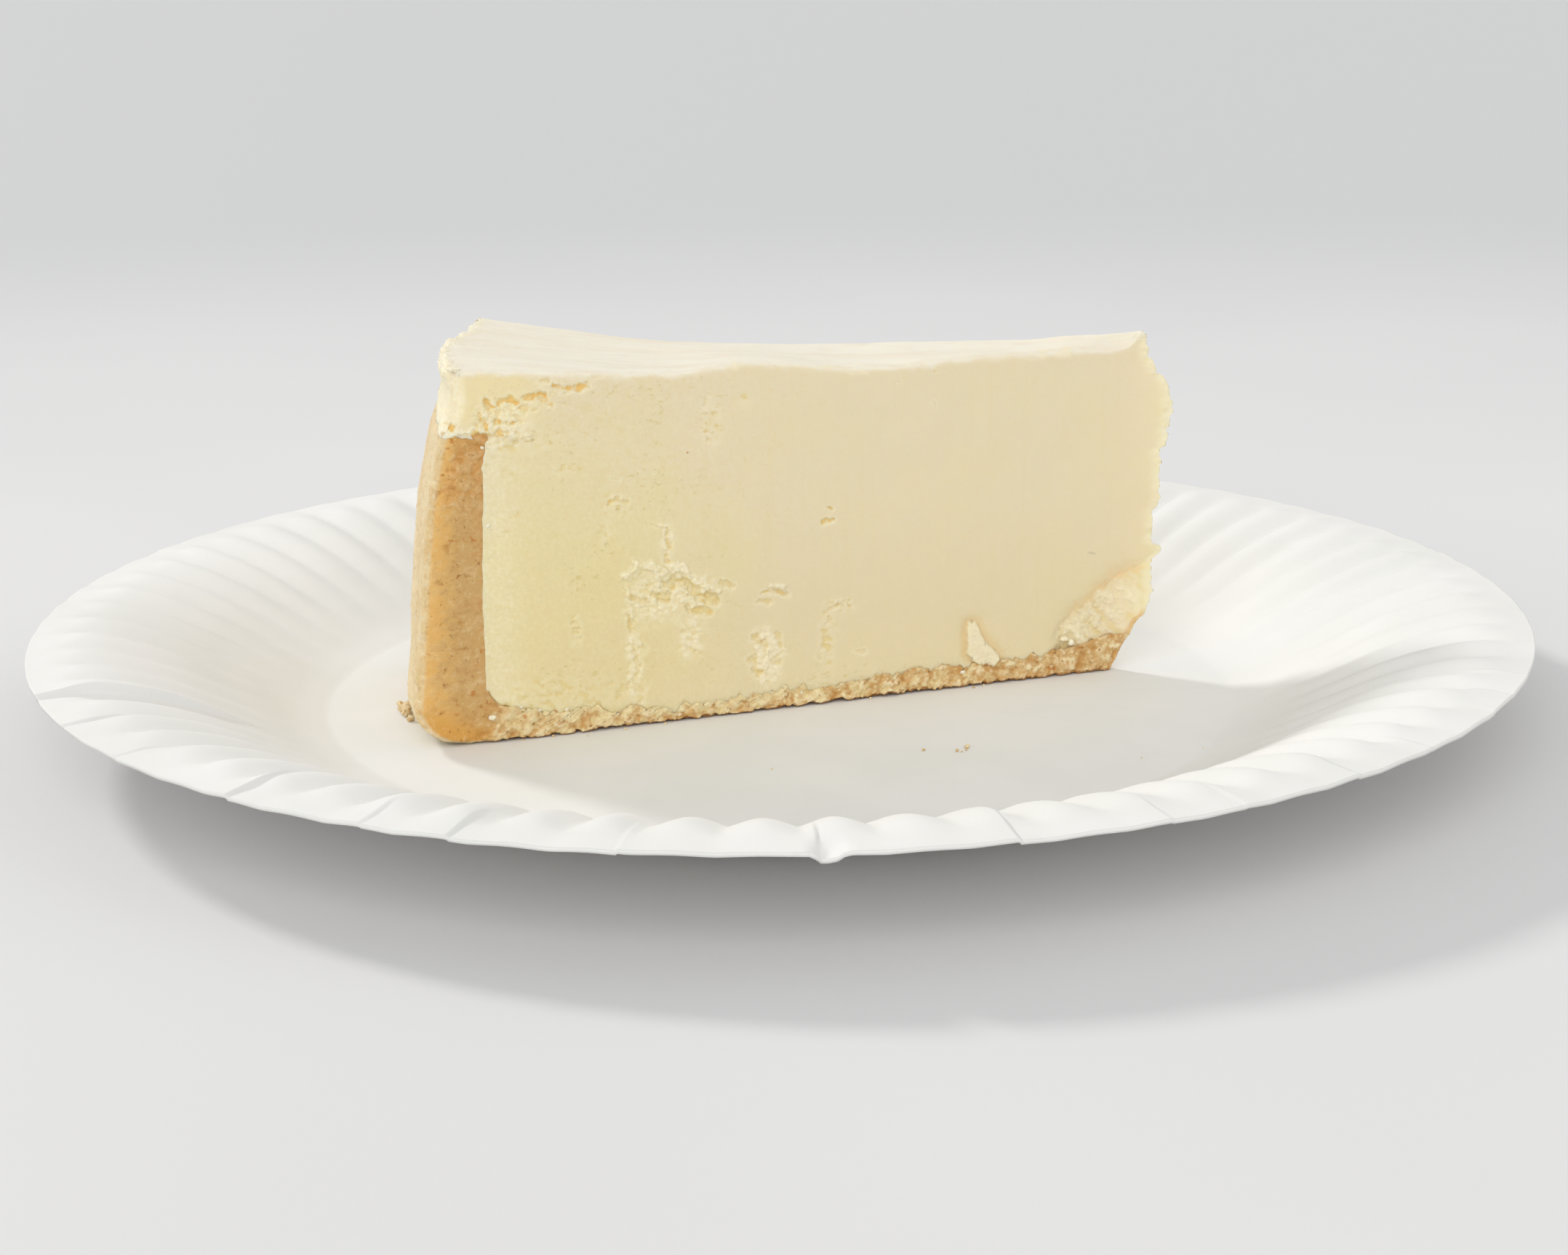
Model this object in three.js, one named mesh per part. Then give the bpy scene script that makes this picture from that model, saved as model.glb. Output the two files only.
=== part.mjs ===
import * as THREE from 'three'

// A wedge of plain baked cheesecake with a pastry shell on its base and outer side,
// lying on a round white paper plate with a fluted rim. All lengths are in millimetres.
// The plate's underside is on z = 0 and its centre is on the z axis.

const degrees = THREE.MathUtils.degToRad
const lerp = THREE.MathUtils.lerp
const clamp = THREE.MathUtils.clamp
const smooth = THREE.MathUtils.smoothstep

// Gap kept between pieces that touch
const GAP = 0.3

// Plate: a nine inch disc of stiff paper
const PLATE_RADIUS = 114.3
const PLATE_THICKNESS = 0.6
const FLOOR_RADIUS = 71
// Radius and height above the floor, from the foot of the slope to the cut edge
const RIM_PROFILE = [
  [FLOOR_RADIUS, 0], [76, 1.5], [84, 5.5], [93, 10.1], [101, 13.0], [107, 14.2], [PLATE_RADIUS, 14.0],
]
const RIM_RINGS = [FLOOR_RADIUS, 77, 85, 93, 101, 107.5, PLATE_RADIUS]

// Flutes: broad crests between narrow creased valleys. They rise with the slope and are
// pressed nearly flat in the band along the edge.
const FLUTE_COUNT = 72
const FLUTE_CREST = 3.6
const FLUTE_DEPTH = 1.35
const FLUTE_COLUMNS = 3
const FLUTE_START = [74, 100]
const PRESSED_BAND = [105, 110]
const PRESSED_SHARE = 0.75

// Folds, where the rim steps down over itself: azimuth in degrees and height of the step
const RIM_FOLDS = [
  [-155.5, 1.3], [-147.8, 1.1], [-126.9, 1.2], [-110.2, 0.7],
  [-87.9, 1.0], [-76.0, 0.8], [-51.0, 0.7], [-28.9, 0.9],
]
const FOLD_START = [80, 108]
const FOLD_REACH = 3.2
const FOLD_HALF_WIDTH = 0.16

// Slice: its point, the directions of its two cut faces and its blunt thin edge
const POINT = new THREE.Vector2(57.1, 9.4)
const FRONT_AZIMUTH = 200.16
const WEDGE_ANGLE = 24.5
const MIDDLE_AZIMUTH = FRONT_AZIMUTH - WEDGE_ANGLE / 2
const POINT_HALF_WIDTH = 0.6

// Outer side: height above the plate's floor and distance from the point
const OUTER_PROFILE = [
  [0, 116.4], [4, 115.9], [12, 115.1], [26, 113.8], [37, 112.4], [46, 110.4], [51, 108.6], [58, 109],
]
const OUTER_SKEW = 2.4
const OUTER_FLATTENING = 0.6
const OUTER_CORNER = 1.8
const CORNER_START = 0.9
// Worn stretch of the top's outer rim: heights where it starts and ends, its depth, its
// middle as a side, and its half length
const WORN_RIM = { heights: [52, 57], depth: 2.4, side: -0.5, reach: 0.45 }

// Top: distance from the point and height, along the front and the back edge
const OUTER_HEIGHT = 57
const TOP_FRONT = [
  [-6, 55.2], [0, 54.6], [6, 52.8], [36, 52.6], [46, 52.4], [60, 54.1], [70, 54.2], [80, 53.9], [109, 56.2],
]
const TOP_BACK = [
  [-6, 55.2], [0, 54.8], [19, 53.7], [45, 53.1], [67, 53.1], [79, 53.7], [91, 55.3], [106, 57.4],
]
const TOP_EDGE_DROP = 0.5

// Ragged edge at the point: height and distance from the point, negative beyond it
const RAGGED_POINT = [
  [0.3, 4.3], [3, 2.9], [9, -0.5], [12, -2.4], [18, -2.6], [20, -4.2], [22.5, -2.4],
  [28.5, -4.4], [34.5, -3.1], [41.8, -5.6], [44.7, -4.6], [47.7, -2.3], [55, -0.3],
]

// Pastry: top of the base, inner face of the wall and height of the wall's top
const BASE_TOP = [
  [0, 6.3], [4, 6.0], [10, 4.4], [20, 3.7], [36, 3.7], [53, 3.0], [78, 2.7], [94, 3.7], [105, 5.2],
]
const WALL_INNER = [[5, 106.7], [20, 106.6], [34, 106.1], [50, 105.2]]
const BASE_TOP_AT_POINT = 6.3
const TOP_AT_POINT = 55
const WALL_TOP_AT_CUT = 45.6
const WALL_TOP_RISE = 3.4
const BASE_END = 100
const FOOT_CENTRE = [110.5, 5.6]
const FOOT_RADIUS = 5.2
const INNER_FILLET_CENTRE = [103.2, 8.8]
const INNER_FILLET_RADIUS = 3.5
const FOOT_STEPS = 5
const WALL_STEPS = 13

// Steps of the slice's surface: from the point to the wall, across the wall, and upwards
const LENGTH_STEPS = 36
const WALL_COLUMNS = 4
const LOWER_ROWS = 14
const UPPER_ROWS = 4
const SIDE_STEPS = [-1, -0.9, -0.5, 0, 0.5, 0.9, 1]

// Torn spots in the cut faces: distance, height, half length, half height and depth.
// A negative depth is a flake that stands proud.
const FRONT_TEARS = [
  [78, 20.5, 5.5, 3.4, 2.2], [72.5, 19, 2.6, 2.4, 1.2], [84, 12, 1.4, 8, 0.9], [63, 9.5, 2.6, 4.5, 1.7],
  [80, 31, 2.6, 4, 0.9], [101, 50.6, 5, 1.6, 1.0], [104, 47.2, 3.6, 1.4, 0.9], [93.5, 53, 3, 0.9, 0.6],
  [66, 18.5, 5, 1.6, 0.7], [53.2, 11, 1.6, 5, 0.5], [26.5, 6.2, 2.6, 3, -1.5], [5.5, 11.5, 6, 4, 0.9],
]
const BACK_TEARS = [
  [88, 30, 5, 2.6, 1.2], [70, 14, 3, 5, 1.3], [98, 49, 4, 1.6, 0.9], [45, 36, 3, 2, 0.7], [30, 9, 5, 3, 0.9],
]
const FACE_WAVE = 0.3
const CRUMBLE = 0.45

// Height of a smooth curve through points [x, y], level beyond its ends
function curveAt(points, x) {
  const last = points.length - 1
  if (x <= points[0][0]) return points[0][1]
  if (x >= points[last][0]) return points[last][1]
  let i = 0
  while (points[i + 1][0] < x) i += 1
  const slope = (a, b) => (points[b][1] - points[a][1]) / (points[b][0] - points[a][0])
  const step = points[i + 1][0] - points[i][0]
  const t = (x - points[i][0]) / step
  const start = slope(Math.max(i - 1, 0), i + 1) * step
  const end = slope(i, Math.min(i + 2, last)) * step
  const a = (1 + 2 * t) * (1 - t) ** 2 * points[i][1] + t * (1 - t) ** 2 * start
  const b = t * t * (3 - 2 * t) * points[i + 1][1] + t * t * (t - 1) * end
  return a + b
}

// A repeatable value between -1 and 1 for each whole x, y and seed
function speck(x, y, seed) {
  const value = Math.sin(x * 127.1 + y * 311.7 + seed * 74.7) * 43758.5453
  return 2 * (value - Math.floor(value)) - 1
}

// Smooth unevenness between -1 and 1
function unevenness(x, y, seed) {
  const left = Math.floor(x)
  const low = Math.floor(y)
  const u = smooth(x - left, 0, 1)
  const v = smooth(y - low, 0, 1)
  const below = lerp(speck(left, low, seed), speck(left + 1, low, seed), u)
  const above = lerp(speck(left, low + 1, seed), speck(left + 1, low + 1, seed), u)
  return lerp(below, above, v)
}

// Closed mesh from its corner points and triangles, turned to face outwards
function solid(points, triangles) {
  let volume = 0
  for (const [a, b, c] of triangles) {
    volume += points[a].dot(new THREE.Vector3().crossVectors(points[b], points[c]))
  }
  const outward = volume > 0 ? triangles : triangles.map(([a, b, c]) => [a, c, b])
  const geometry = new THREE.BufferGeometry().setFromPoints(points)
  geometry.setIndex(outward.flat())
  geometry.computeVertexNormals()
  return geometry
}

// Skin of a bent block whose lattice has the given numbers of steps in three directions
function bentBlock(steps, place) {
  const points = []
  const numbers = new Map()
  const triangles = []
  const corner = (lattice) => {
    const key = lattice.join(' ')
    if (!numbers.has(key)) {
      numbers.set(key, points.length)
      points.push(place(...lattice))
    }
    return numbers.get(key)
  }
  for (let axis = 0; axis < 3; axis += 1) {
    const [across, along] = [(axis + 1) % 3, (axis + 2) % 3]
    for (const end of [0, steps[axis]]) {
      for (let i = 0; i < steps[across]; i += 1) {
        for (let j = 0; j < steps[along]; j += 1) {
          const square = [[0, 0], [1, 0], [1, 1], [0, 1]].map(([di, dj]) => {
            const lattice = [0, 0, 0]
            lattice[axis] = end
            lattice[across] = i + di
            lattice[along] = j + dj
            return corner(lattice)
          })
          const [a, b, c, d] = end ? square : square.reverse()
          triangles.push([a, b, c], [a, c, d])
        }
      }
    }
  }
  return solid(points, triangles)
}

// Azimuths of the plate's columns: even steps in each flute, and two beside each fold
function plateColumns() {
  const step = 360 / (FLUTE_COUNT * FLUTE_COLUMNS)
  const folds = RIM_FOLDS.flatMap(([azimuth]) => [azimuth - FOLD_HALF_WIDTH, azimuth + FOLD_HALF_WIDTH])
  const columns = []
  for (let i = 0; i < FLUTE_COUNT * FLUTE_COLUMNS; i += 1) {
    const azimuth = FLUTE_CREST - 180 + (i - 0.5 * FLUTE_COLUMNS) * step
    const wrapped = azimuth < -180 ? azimuth + 360 : azimuth
    if (folds.every((fold) => Math.abs(fold - wrapped) > 0.5 * step)) columns.push(wrapped)
  }
  return columns.concat(folds).sort((a, b) => a - b)
}

// How far the folds lift the rim at an azimuth, for a step of the given size
function foldStep(azimuth) {
  let lift = 0
  for (const [fold, height] of RIM_FOLDS) {
    const beside = azimuth - fold
    lift -= 0.5 * height * Math.sign(beside) * Math.exp(-Math.abs(beside) / FOLD_REACH)
  }
  return lift
}

// Height of the plate's upper surface above its floor
function rimHeight(radius, azimuth) {
  const turns = ((azimuth - FLUTE_CREST) * FLUTE_COUNT) / 360
  const fromCrest = turns - Math.round(turns)
  const crest = 1 / 3 - 4 * fromCrest * fromCrest
  const rise = smooth(radius, ...FLUTE_START)
  const pressed = 1 - PRESSED_SHARE * smooth(radius, ...PRESSED_BAND)
  const folded = foldStep(azimuth) * smooth(radius, ...FOLD_START)
  return curveAt(RIM_PROFILE, radius) + FLUTE_DEPTH * crest * rise * pressed + folded
}

function plate() {
  const columns = plateColumns()
  const count = columns.length
  const points = [new THREE.Vector3(0, 0, PLATE_THICKNESS), new THREE.Vector3(0, 0, 0)]
  const triangles = []
  const corner = (side, ring, column) => 2 + (side * RIM_RINGS.length + ring) * count + (column % count)
  for (const side of [0, 1]) {
    for (const radius of RIM_RINGS) {
      for (const azimuth of columns) {
        const height = rimHeight(radius, azimuth)
        const edge = radius === PLATE_RADIUS ? radius - Math.max(0, -foldStep(azimuth)) : radius
        const angle = degrees(azimuth)
        const z = height + (side ? 0 : PLATE_THICKNESS)
        points.push(new THREE.Vector3(edge * Math.cos(angle), edge * Math.sin(angle), z))
      }
    }
  }
  const outer = RIM_RINGS.length - 1
  for (let i = 0; i < count; i += 1) {
    triangles.push([0, corner(0, 0, i), corner(0, 0, i + 1)])
    triangles.push([1, corner(1, 0, i + 1), corner(1, 0, i)])
    for (let ring = 0; ring < outer; ring += 1) {
      for (const side of [0, 1]) {
        const [a, b] = [corner(side, ring, i), corner(side, ring, i + 1)]
        const [c, d] = [corner(side, ring + 1, i + 1), corner(side, ring + 1, i)]
        if (side) triangles.push([a, b, c], [a, c, d])
        else triangles.push([a, c, b], [a, d, c])
      }
    }
    triangles.push([corner(0, outer, i), corner(1, outer, i), corner(1, outer, i + 1)])
    triangles.push([corner(0, outer, i), corner(1, outer, i + 1), corner(0, outer, i + 1)])
  }
  return solid(points, triangles)
}

// A place in the slice: distance from the point, side from -1 at the back cut to 1 at the
// front cut, height above the plate's floor, and how far it lies inside the cut face
function place(distance, side, height, inset = 0) {
  const half = degrees(WEDGE_ANGLE / 2)
  const middle = degrees(MIDDLE_AZIMUTH)
  const spread = distance * Math.sin(half)
  const halfWidth = (spread + Math.sqrt(spread * spread + 4 * POINT_HALF_WIDTH ** 2)) / 2
  const along = distance * Math.cos(side * half)
  const across = side * (halfWidth - inset)
  const x = POINT.x + along * Math.cos(middle) - across * Math.sin(middle)
  const y = POINT.y + along * Math.sin(middle) + across * Math.cos(middle)
  return new THREE.Vector3(x, y, PLATE_THICKNESS + height)
}

// Share of the way round the corner between a smooth side and a cut face
function cornerShare(side) {
  return clamp((Math.abs(side) - CORNER_START) / (1 - CORNER_START), 0, 1)
}

// Distance from the point to the outer side, which turns in at both cuts
function outerDistance(height, side) {
  const fromWorn = (side - WORN_RIM.side) / WORN_RIM.reach
  const worn = WORN_RIM.depth * smooth(height, ...WORN_RIM.heights) * Math.exp(-(fromWorn ** 2))
  const bow = OUTER_SKEW * side - OUTER_FLATTENING * side * side
  return curveAt(OUTER_PROFILE, height) + bow - OUTER_CORNER * cornerShare(side) - worn
}

// Distance of a station between the ragged point and the start of the wall
function stationAt(step, height) {
  const start = curveAt(RAGGED_POINT, height)
  return lerp(start, BASE_END, step / LENGTH_STEPS)
}

function wallTop(side) {
  return WALL_TOP_AT_CUT + WALL_TOP_RISE * (1 - side * side)
}

function topHeight(distance, side) {
  const flat = lerp(curveAt(TOP_BACK, distance), curveAt(TOP_FRONT, distance), (side + 1) / 2)
  return flat - TOP_EDGE_DROP * cornerShare(side)
}

// How far a cut face lies inside its flat plane
function tornDepth(distance, height, side) {
  let depth = FACE_WAVE * unevenness(distance / 16, height / 12, side)
  for (const [along, up, length, rise, deep] of side > 0 ? FRONT_TEARS : BACK_TEARS) {
    depth += deep * Math.exp(-(((distance - along) / length) ** 2) - ((height - up) / rise) ** 2)
  }
  return depth
}

// Height of the pastry base's top, which runs up into a fillet at the wall
function baseTop(distance) {
  const flat = curveAt(BASE_TOP, distance)
  const beyond = distance - INNER_FILLET_CENTRE[0]
  if (beyond <= 0) return flat
  const reach = Math.min(beyond / INNER_FILLET_RADIUS, 0.97)
  return Math.max(flat, INNER_FILLET_CENTRE[1] - INNER_FILLET_RADIUS * Math.sqrt(1 - reach * reach))
}

function filling() {
  const rows = LOWER_ROWS + 1 + UPPER_ROWS
  const steps = [LENGTH_STEPS + WALL_COLUMNS, SIDE_STEPS.length - 1, rows]
  return bentBlock(steps, (column, lane, row) => {
    const side = SIDE_STEPS[lane]
    const shelf = wallTop(side)
    const lower = row <= LOWER_ROWS
    const part = lower ? row / LOWER_ROWS : (row - LOWER_ROWS - 1) / UPPER_ROWS
    const pointHeight = lower ? lerp(BASE_TOP_AT_POINT, shelf, part) : lerp(shelf + GAP, TOP_AT_POINT, part)
    const wallFace = curveAt(WALL_INNER, part * shelf) - GAP
    let distance = stationAt(column, pointHeight)
    if (column > LENGTH_STEPS) {
      const end = lower ? wallFace : outerDistance(lerp(shelf, OUTER_HEIGHT, part), side)
      distance = lerp(BASE_END, end, (column - LENGTH_STEPS) / WALL_COLUMNS)
    }
    const floor = baseTop(distance) + GAP
    const height = lower ? lerp(floor, shelf, part) : lerp(shelf + GAP, topHeight(distance, side), part)
    const cut = Math.abs(side) === 1
    return place(distance, side, height, cut ? tornDepth(distance, height, side) : 0)
  })
}

// Pastry shell: stations along the base, round the foot and up the wall
function crust() {
  const stations = LENGTH_STEPS + FOOT_STEPS + WALL_STEPS
  return bentBlock([stations, SIDE_STEPS.length - 1, 1], (station, lane, inner) => {
    const side = SIDE_STEPS[lane]
    const cut = Math.abs(side) === 1
    const rough = CRUMBLE * unevenness(station / 1.3, inner * 7 + lane, 5)
    if (station <= LENGTH_STEPS) {
      const distance = stationAt(station, inner ? BASE_TOP_AT_POINT : GAP)
      const height = inner ? baseTop(distance) : GAP + Math.abs(rough)
      return place(distance, side, height, cut ? rough : 0)
    }
    const round = Math.min((station - LENGTH_STEPS) / FOOT_STEPS, 1)
    const angle = degrees(-90 + 90 * round)
    const [middle, level, radius] = inner
      ? [...INNER_FILLET_CENTRE, INNER_FILLET_RADIUS]
      : [...FOOT_CENTRE, FOOT_RADIUS]
    let height = level + radius * Math.sin(angle)
    let distance = middle + radius * Math.cos(angle)
    if (station > LENGTH_STEPS + FOOT_STEPS) {
      const up = (station - LENGTH_STEPS - FOOT_STEPS) / WALL_STEPS
      height = lerp(height, wallTop(side) - GAP, up)
      distance = inner ? curveAt(WALL_INNER, height) : outerDistance(height, side) + rough
    } else if (!inner) {
      distance += (outerDistance(level, side) - middle - radius) * round
    }
    return place(distance, side, height, cut ? 0.5 * rough : 0)
  })
}

function piece(name, geometry, color, roughness) {
  const material = new THREE.MeshStandardMaterial({ color, roughness, metalness: 0 })
  const mesh = new THREE.Mesh(geometry, material)
  mesh.name = name
  return mesh
}

const group = new THREE.Group()
group.add(piece('plate', plate(), 0xf3f2ec, 0.75))
group.add(piece('filling', filling(), 0xf0e2bd, 0.55))
group.add(piece('crust', crust(), 0xd9b27c, 0.85))

export default group
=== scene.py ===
import math

import bpy
import numpy as np
from mathutils import Matrix, Vector


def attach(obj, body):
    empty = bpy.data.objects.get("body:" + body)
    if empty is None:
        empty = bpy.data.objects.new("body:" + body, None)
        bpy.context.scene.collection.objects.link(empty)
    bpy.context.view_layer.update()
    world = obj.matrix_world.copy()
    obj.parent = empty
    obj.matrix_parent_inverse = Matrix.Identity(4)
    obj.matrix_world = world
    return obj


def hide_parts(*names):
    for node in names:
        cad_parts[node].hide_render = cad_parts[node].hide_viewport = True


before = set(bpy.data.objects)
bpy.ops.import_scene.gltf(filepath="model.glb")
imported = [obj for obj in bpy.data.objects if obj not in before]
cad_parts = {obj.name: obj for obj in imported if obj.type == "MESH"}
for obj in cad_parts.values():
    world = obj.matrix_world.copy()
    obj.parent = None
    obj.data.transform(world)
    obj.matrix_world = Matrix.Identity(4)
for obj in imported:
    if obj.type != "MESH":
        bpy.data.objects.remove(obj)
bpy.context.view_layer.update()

# Lengths are in millimetres until a mesh is made, which is in metres.
MM = 0.001
SEED = 11

# The camera that took the photograph: its place, its turns in degrees and its lens
CAMERA_PLACE = (0.0, -397.5, 117.6)
CAMERA_DOWN = 15.07
CAMERA_YAW = -0.088
CAMERA_ROLL = -0.689
PHOTO_WIDTH = 2156
FOCAL_PIXELS = 3594
SENSOR_WIDTH = 36
CLIP_START = 0.01

# Plate
PLATE_RADIUS = 114.29
PLATE_THICKNESS = 0.6
FLOOR_RADIUS = 71
RIM_PROFILE = [
    (FLOOR_RADIUS, 0), (76, 1.5), (84, 5.5), (93, 10.1), (101, 13.0), (107, 14.2),
    (PLATE_RADIUS, 14.0),
]
FLUTE_COUNT = 72
FLUTE_CREST = 3.6
FLUTE_DEPTH = 1.35
FLUTE_COLUMNS = 12
FLUTE_START = (74, 100)
PRESSED_BAND = (105.5, 111)
PRESSED_SHARE = 0.88
# Folds in the rim: azimuth, height of the step and the radius it starts at
RIM_FOLDS = [
    (-155.5, 1.25, 81), (-147.8, 0.55, 101), (-139.1, 0.25, 106), (-126.9, 0.8, 97),
    (-116.2, 0.35, 104), (-110.2, 0.5, 100), (-99.7, -0.5, 100), (-87.9, 0.4, 96),
    (-76.0, 0.7, 91), (-66.1, 0.3, 104), (-60.7, -0.3, 104), (-51.0, 0.5, 97), (-43.0, 0.3, 105),
    (-33.0, -0.3, 105), (-28.9, 0.7, 91), (-23.1, 0.3, 104), (13.8, 0.4, 99), (159.2, 0.3, 103),
]
FOLD_LENGTH = 15
FOLD_REACH = 3.2
FOLD_HALF_WIDTH = 0.05
FOLD_CLOSING = 0.5
FOLD_CLOSED = (108, PLATE_RADIUS)
FOLD_OPEN_BY = 112
TAB_AZIMUTH = -87.35
TAB_HALF_ANGLE = 0.85
TAB_DROP = 1.2
TAB_START = 109
# Rings and columns of the plate's mesh: radii, and degrees beside a fold
FLOOR_RINGS = [6, 30, 50, 62, 68, 70.4]
RIM_RING_STEP = 1.05
EDGE_RINGS = [113.8, 114.12, PLATE_RADIUS]
FOLD_COLUMNS = (-0.6, -0.25, -FOLD_HALF_WIDTH, FOLD_HALF_WIDTH, 0.25, 0.6)
CLEAR_OF_FOLD = 0.7

# Slice
POINT = (57.1, 9.4)
FRONT_AZIMUTH = 200.16
WEDGE_ANGLE = 24.5
MIDDLE_AZIMUTH = FRONT_AZIMUTH - WEDGE_ANGLE / 2
POINT_HALF_WIDTH = 0.6
OUTER_PROFILE = [
    (0, 116.4), (4, 115.9), (12, 115.1), (26, 113.8), (37, 112.4), (46, 110.4), (51, 108.6), (58, 109),
]
HIGHEST = 57.15
OUTER_SKEW = 2.4
OUTER_FLATTENING = 0.6
WORN_HEIGHTS = (52, 57)
WORN_DEPTH = 2.4
WORN_SIDE = -0.5
WORN_REACH = 0.45
TOP_FRONT = [
    (-6, 55.4), (-0.3, 54.9), (2.4, 52.9), (10, 52.6), (28, 52.8), (45, 52.3), (53, 52.9), (60, 54.0),
    (66, 54.4), (71, 54.2), (77, 53.8), (89, 54.5), (100, 55.5), (109, 56.2),
]
TOP_BACK = [
    (-6, 55.4), (0, 55.0), (11, 54.3), (19, 53.7), (45, 53.1), (67, 53.1), (79, 53.7), (91, 55.3),
    (106, 57.4),
]
RAGGED_POINT = [
    (0.3, 4.3), (3, 2.9), (6, 1.2), (8.6, -0.3), (9.6, -1.4), (11.2, -2.3), (12.4, -2.6), (14, -2.9),
    (15.2, -2.6), (17.2, -2.4), (18.5, -2.5), (18.7, -3.3), (19.1, -3.9), (19.7, -4.1), (20.3, -3.9),
    (20.7, -3.2), (20.9, -2.5), (23.4, -2.4), (25.9, -2.6), (28.3, -3.8), (30.8, -3.5), (33.6, -3.5),
    (35.6, -3.2), (36.1, -4.5), (38.0, -4.6), (39.8, -4.9), (41.8, -5.4), (44.7, -4.7), (46.9, -4.0),
    (47.5, -2.6), (51.5, -1.2), (55, -0.3),
]

# Pastry
BASE_TOP = [
    (0, 6.3), (4, 6.0), (10, 4.4), (20, 3.7), (36, 3.7), (53, 3.0), (78, 2.7), (94, 3.7), (105, 5.2),
]
WALL_INNER = [(5, 106.7), (20, 106.6), (34, 106.1), (50, 105.2)]
BASE_TOP_AT_POINT = 6.3
TOP_AT_POINT = 55
WALL_TOP_AT_CUT = 45.6
WALL_TOP_RISE = 3.4
BASE_END = 100
OUTER_HEIGHT = 57
FOOT_CENTRE = (110.5, 5.4)
FOOT_RADIUS = 5.3
INNER_FILLET_CENTRE = (103.2, 8.8)
INNER_FILLET_RADIUS = 3.5

rng = np.random.default_rng(SEED)


# Curves, steps and noise

def curve_at(points, x):
    """Height of a smooth curve through points (x, y), level beyond its ends."""
    p = np.array(points, float)
    x = np.clip(np.asarray(x, float), p[0, 0], p[-1, 0])
    last = len(p) - 1
    i = np.clip(np.searchsorted(p[:, 0], x, side="left") - 1, 0, last - 1)
    before, after = np.maximum(i - 1, 0), np.minimum(i + 2, last)
    step = p[i + 1, 0] - p[i, 0]
    t = (x - p[i, 0]) / step
    start = (p[i + 1, 1] - p[before, 1]) / (p[i + 1, 0] - p[before, 0]) * step
    end = (p[after, 1] - p[i, 1]) / (p[after, 0] - p[i, 0]) * step
    rise = (1 + 2 * t) * (1 - t) ** 2 * p[i, 1] + t * (1 - t) ** 2 * start
    return rise + t * t * (3 - 2 * t) * p[i + 1, 1] + t * t * (t - 1) * end


def line_at(points, x):
    """Height of a broken line through points (x, y)."""
    p = np.array(points, float)
    return np.interp(x, p[:, 0], p[:, 1])


def smooth(x, low, high):
    """A soft step from 0 at low to 1 at high."""
    t = np.clip((np.asarray(x, float) - low) / (high - low), 0, 1)
    return t * t * (3 - 2 * t)


def lerp(a, b, t):
    return a + (b - a) * t


def triples(a, b, c):
    """Places (n, 3) from three arrays or values."""
    return np.stack(np.broadcast_arrays(a, b, c), -1)


def at_one(shape, *values):
    """What a function of arrays gives at single values."""
    return shape(*(np.array([float(v)]) for v in values))[0]


def lattice_value(cell, seed):
    """A repeatable value between -1 and 1 for each whole cell (n, 3)."""
    c = cell.astype(np.int64)
    h = (c[:, 0] * 73856093) ^ (c[:, 1] * 19349663) ^ (c[:, 2] * 83492791) ^ (seed * 2654435761)
    h = (h ^ (h >> 13)) * 1274126177 & 0x7FFFFFFF
    h = (h ^ (h >> 16)) * 1911520717 & 0x7FFFFFFF
    return h / 0x3FFFFFFF - 1


def noise(places, size, seed=0):
    """Smooth unevenness between -1 and 1 with bumps of the given size, at places (n, 3)."""
    p = np.asarray(places, float) / size
    low = np.floor(p)
    t = p - low
    t = t * t * (3 - 2 * t)
    total = np.zeros(len(p))
    for corner in range(8):
        bit = np.array([corner & 1, corner >> 1 & 1, corner >> 2 & 1])
        weight = np.prod(np.where(bit, t, 1 - t), axis=1)
        total += weight * lattice_value(low + bit, seed)
    return total


def fractal(places, size, octaves=3, seed=0, fade=0.5):
    """Noise with finer and finer bumps added, each half the size of the last."""
    total = np.zeros(len(places))
    for k in range(octaves):
        total += fade ** k * noise(places, size / 2 ** k, seed + 17 * k)
    return total


def curds(places, size, seed=0):
    """Distance to the nearest of many scattered middles, 0 at a middle and about 1 between them."""
    p = np.asarray(places, float) / size
    low = np.floor(p)
    nearest = np.full(len(p), np.inf)
    for n in range(27):
        cell = low + np.array([n % 3 - 1, n // 3 % 3 - 1, n // 9 - 1])
        moved = [0.42 * lattice_value(cell, seed + 7 * k) for k in range(3)]
        middle = cell + 0.5 + np.stack(moved, -1)
        nearest = np.minimum(nearest, ((p - middle) ** 2).sum(axis=1))
    return np.sqrt(nearest) / 0.85


# Meshes

def make_mesh(name, points, faces, masks=None):
    """A mesh object from points in millimetres, with named masks kept on its points."""
    mesh = bpy.data.meshes.new(name)
    mesh.from_pydata((np.asarray(points) * MM).tolist(), [], faces)
    mesh.polygons.foreach_set("use_smooth", [True] * len(mesh.polygons))
    for key, values in (masks or {}).items():
        layer = mesh.attributes.new(key, "FLOAT", "POINT")
        layer.data.foreach_set("value", np.clip(values, 0, 1).astype(np.float32))
    mesh.update()
    thing = bpy.data.objects.new(name, mesh)
    bpy.context.scene.collection.objects.link(thing)
    return thing


def tube_faces(rows, columns):
    """Numbers of the points of a tube of rows, the same turned by one, and its faces."""
    number = np.arange(rows * columns).reshape(rows, columns)
    turned = np.roll(number, -1, axis=1)
    quads = np.stack([number[:-1], number[1:], turned[1:], turned[:-1]], -1).reshape(-1, 4)
    return number, turned, quads


# Lattice places along a cell's side, so that a cell can be halved twice
CELL = 4


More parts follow.
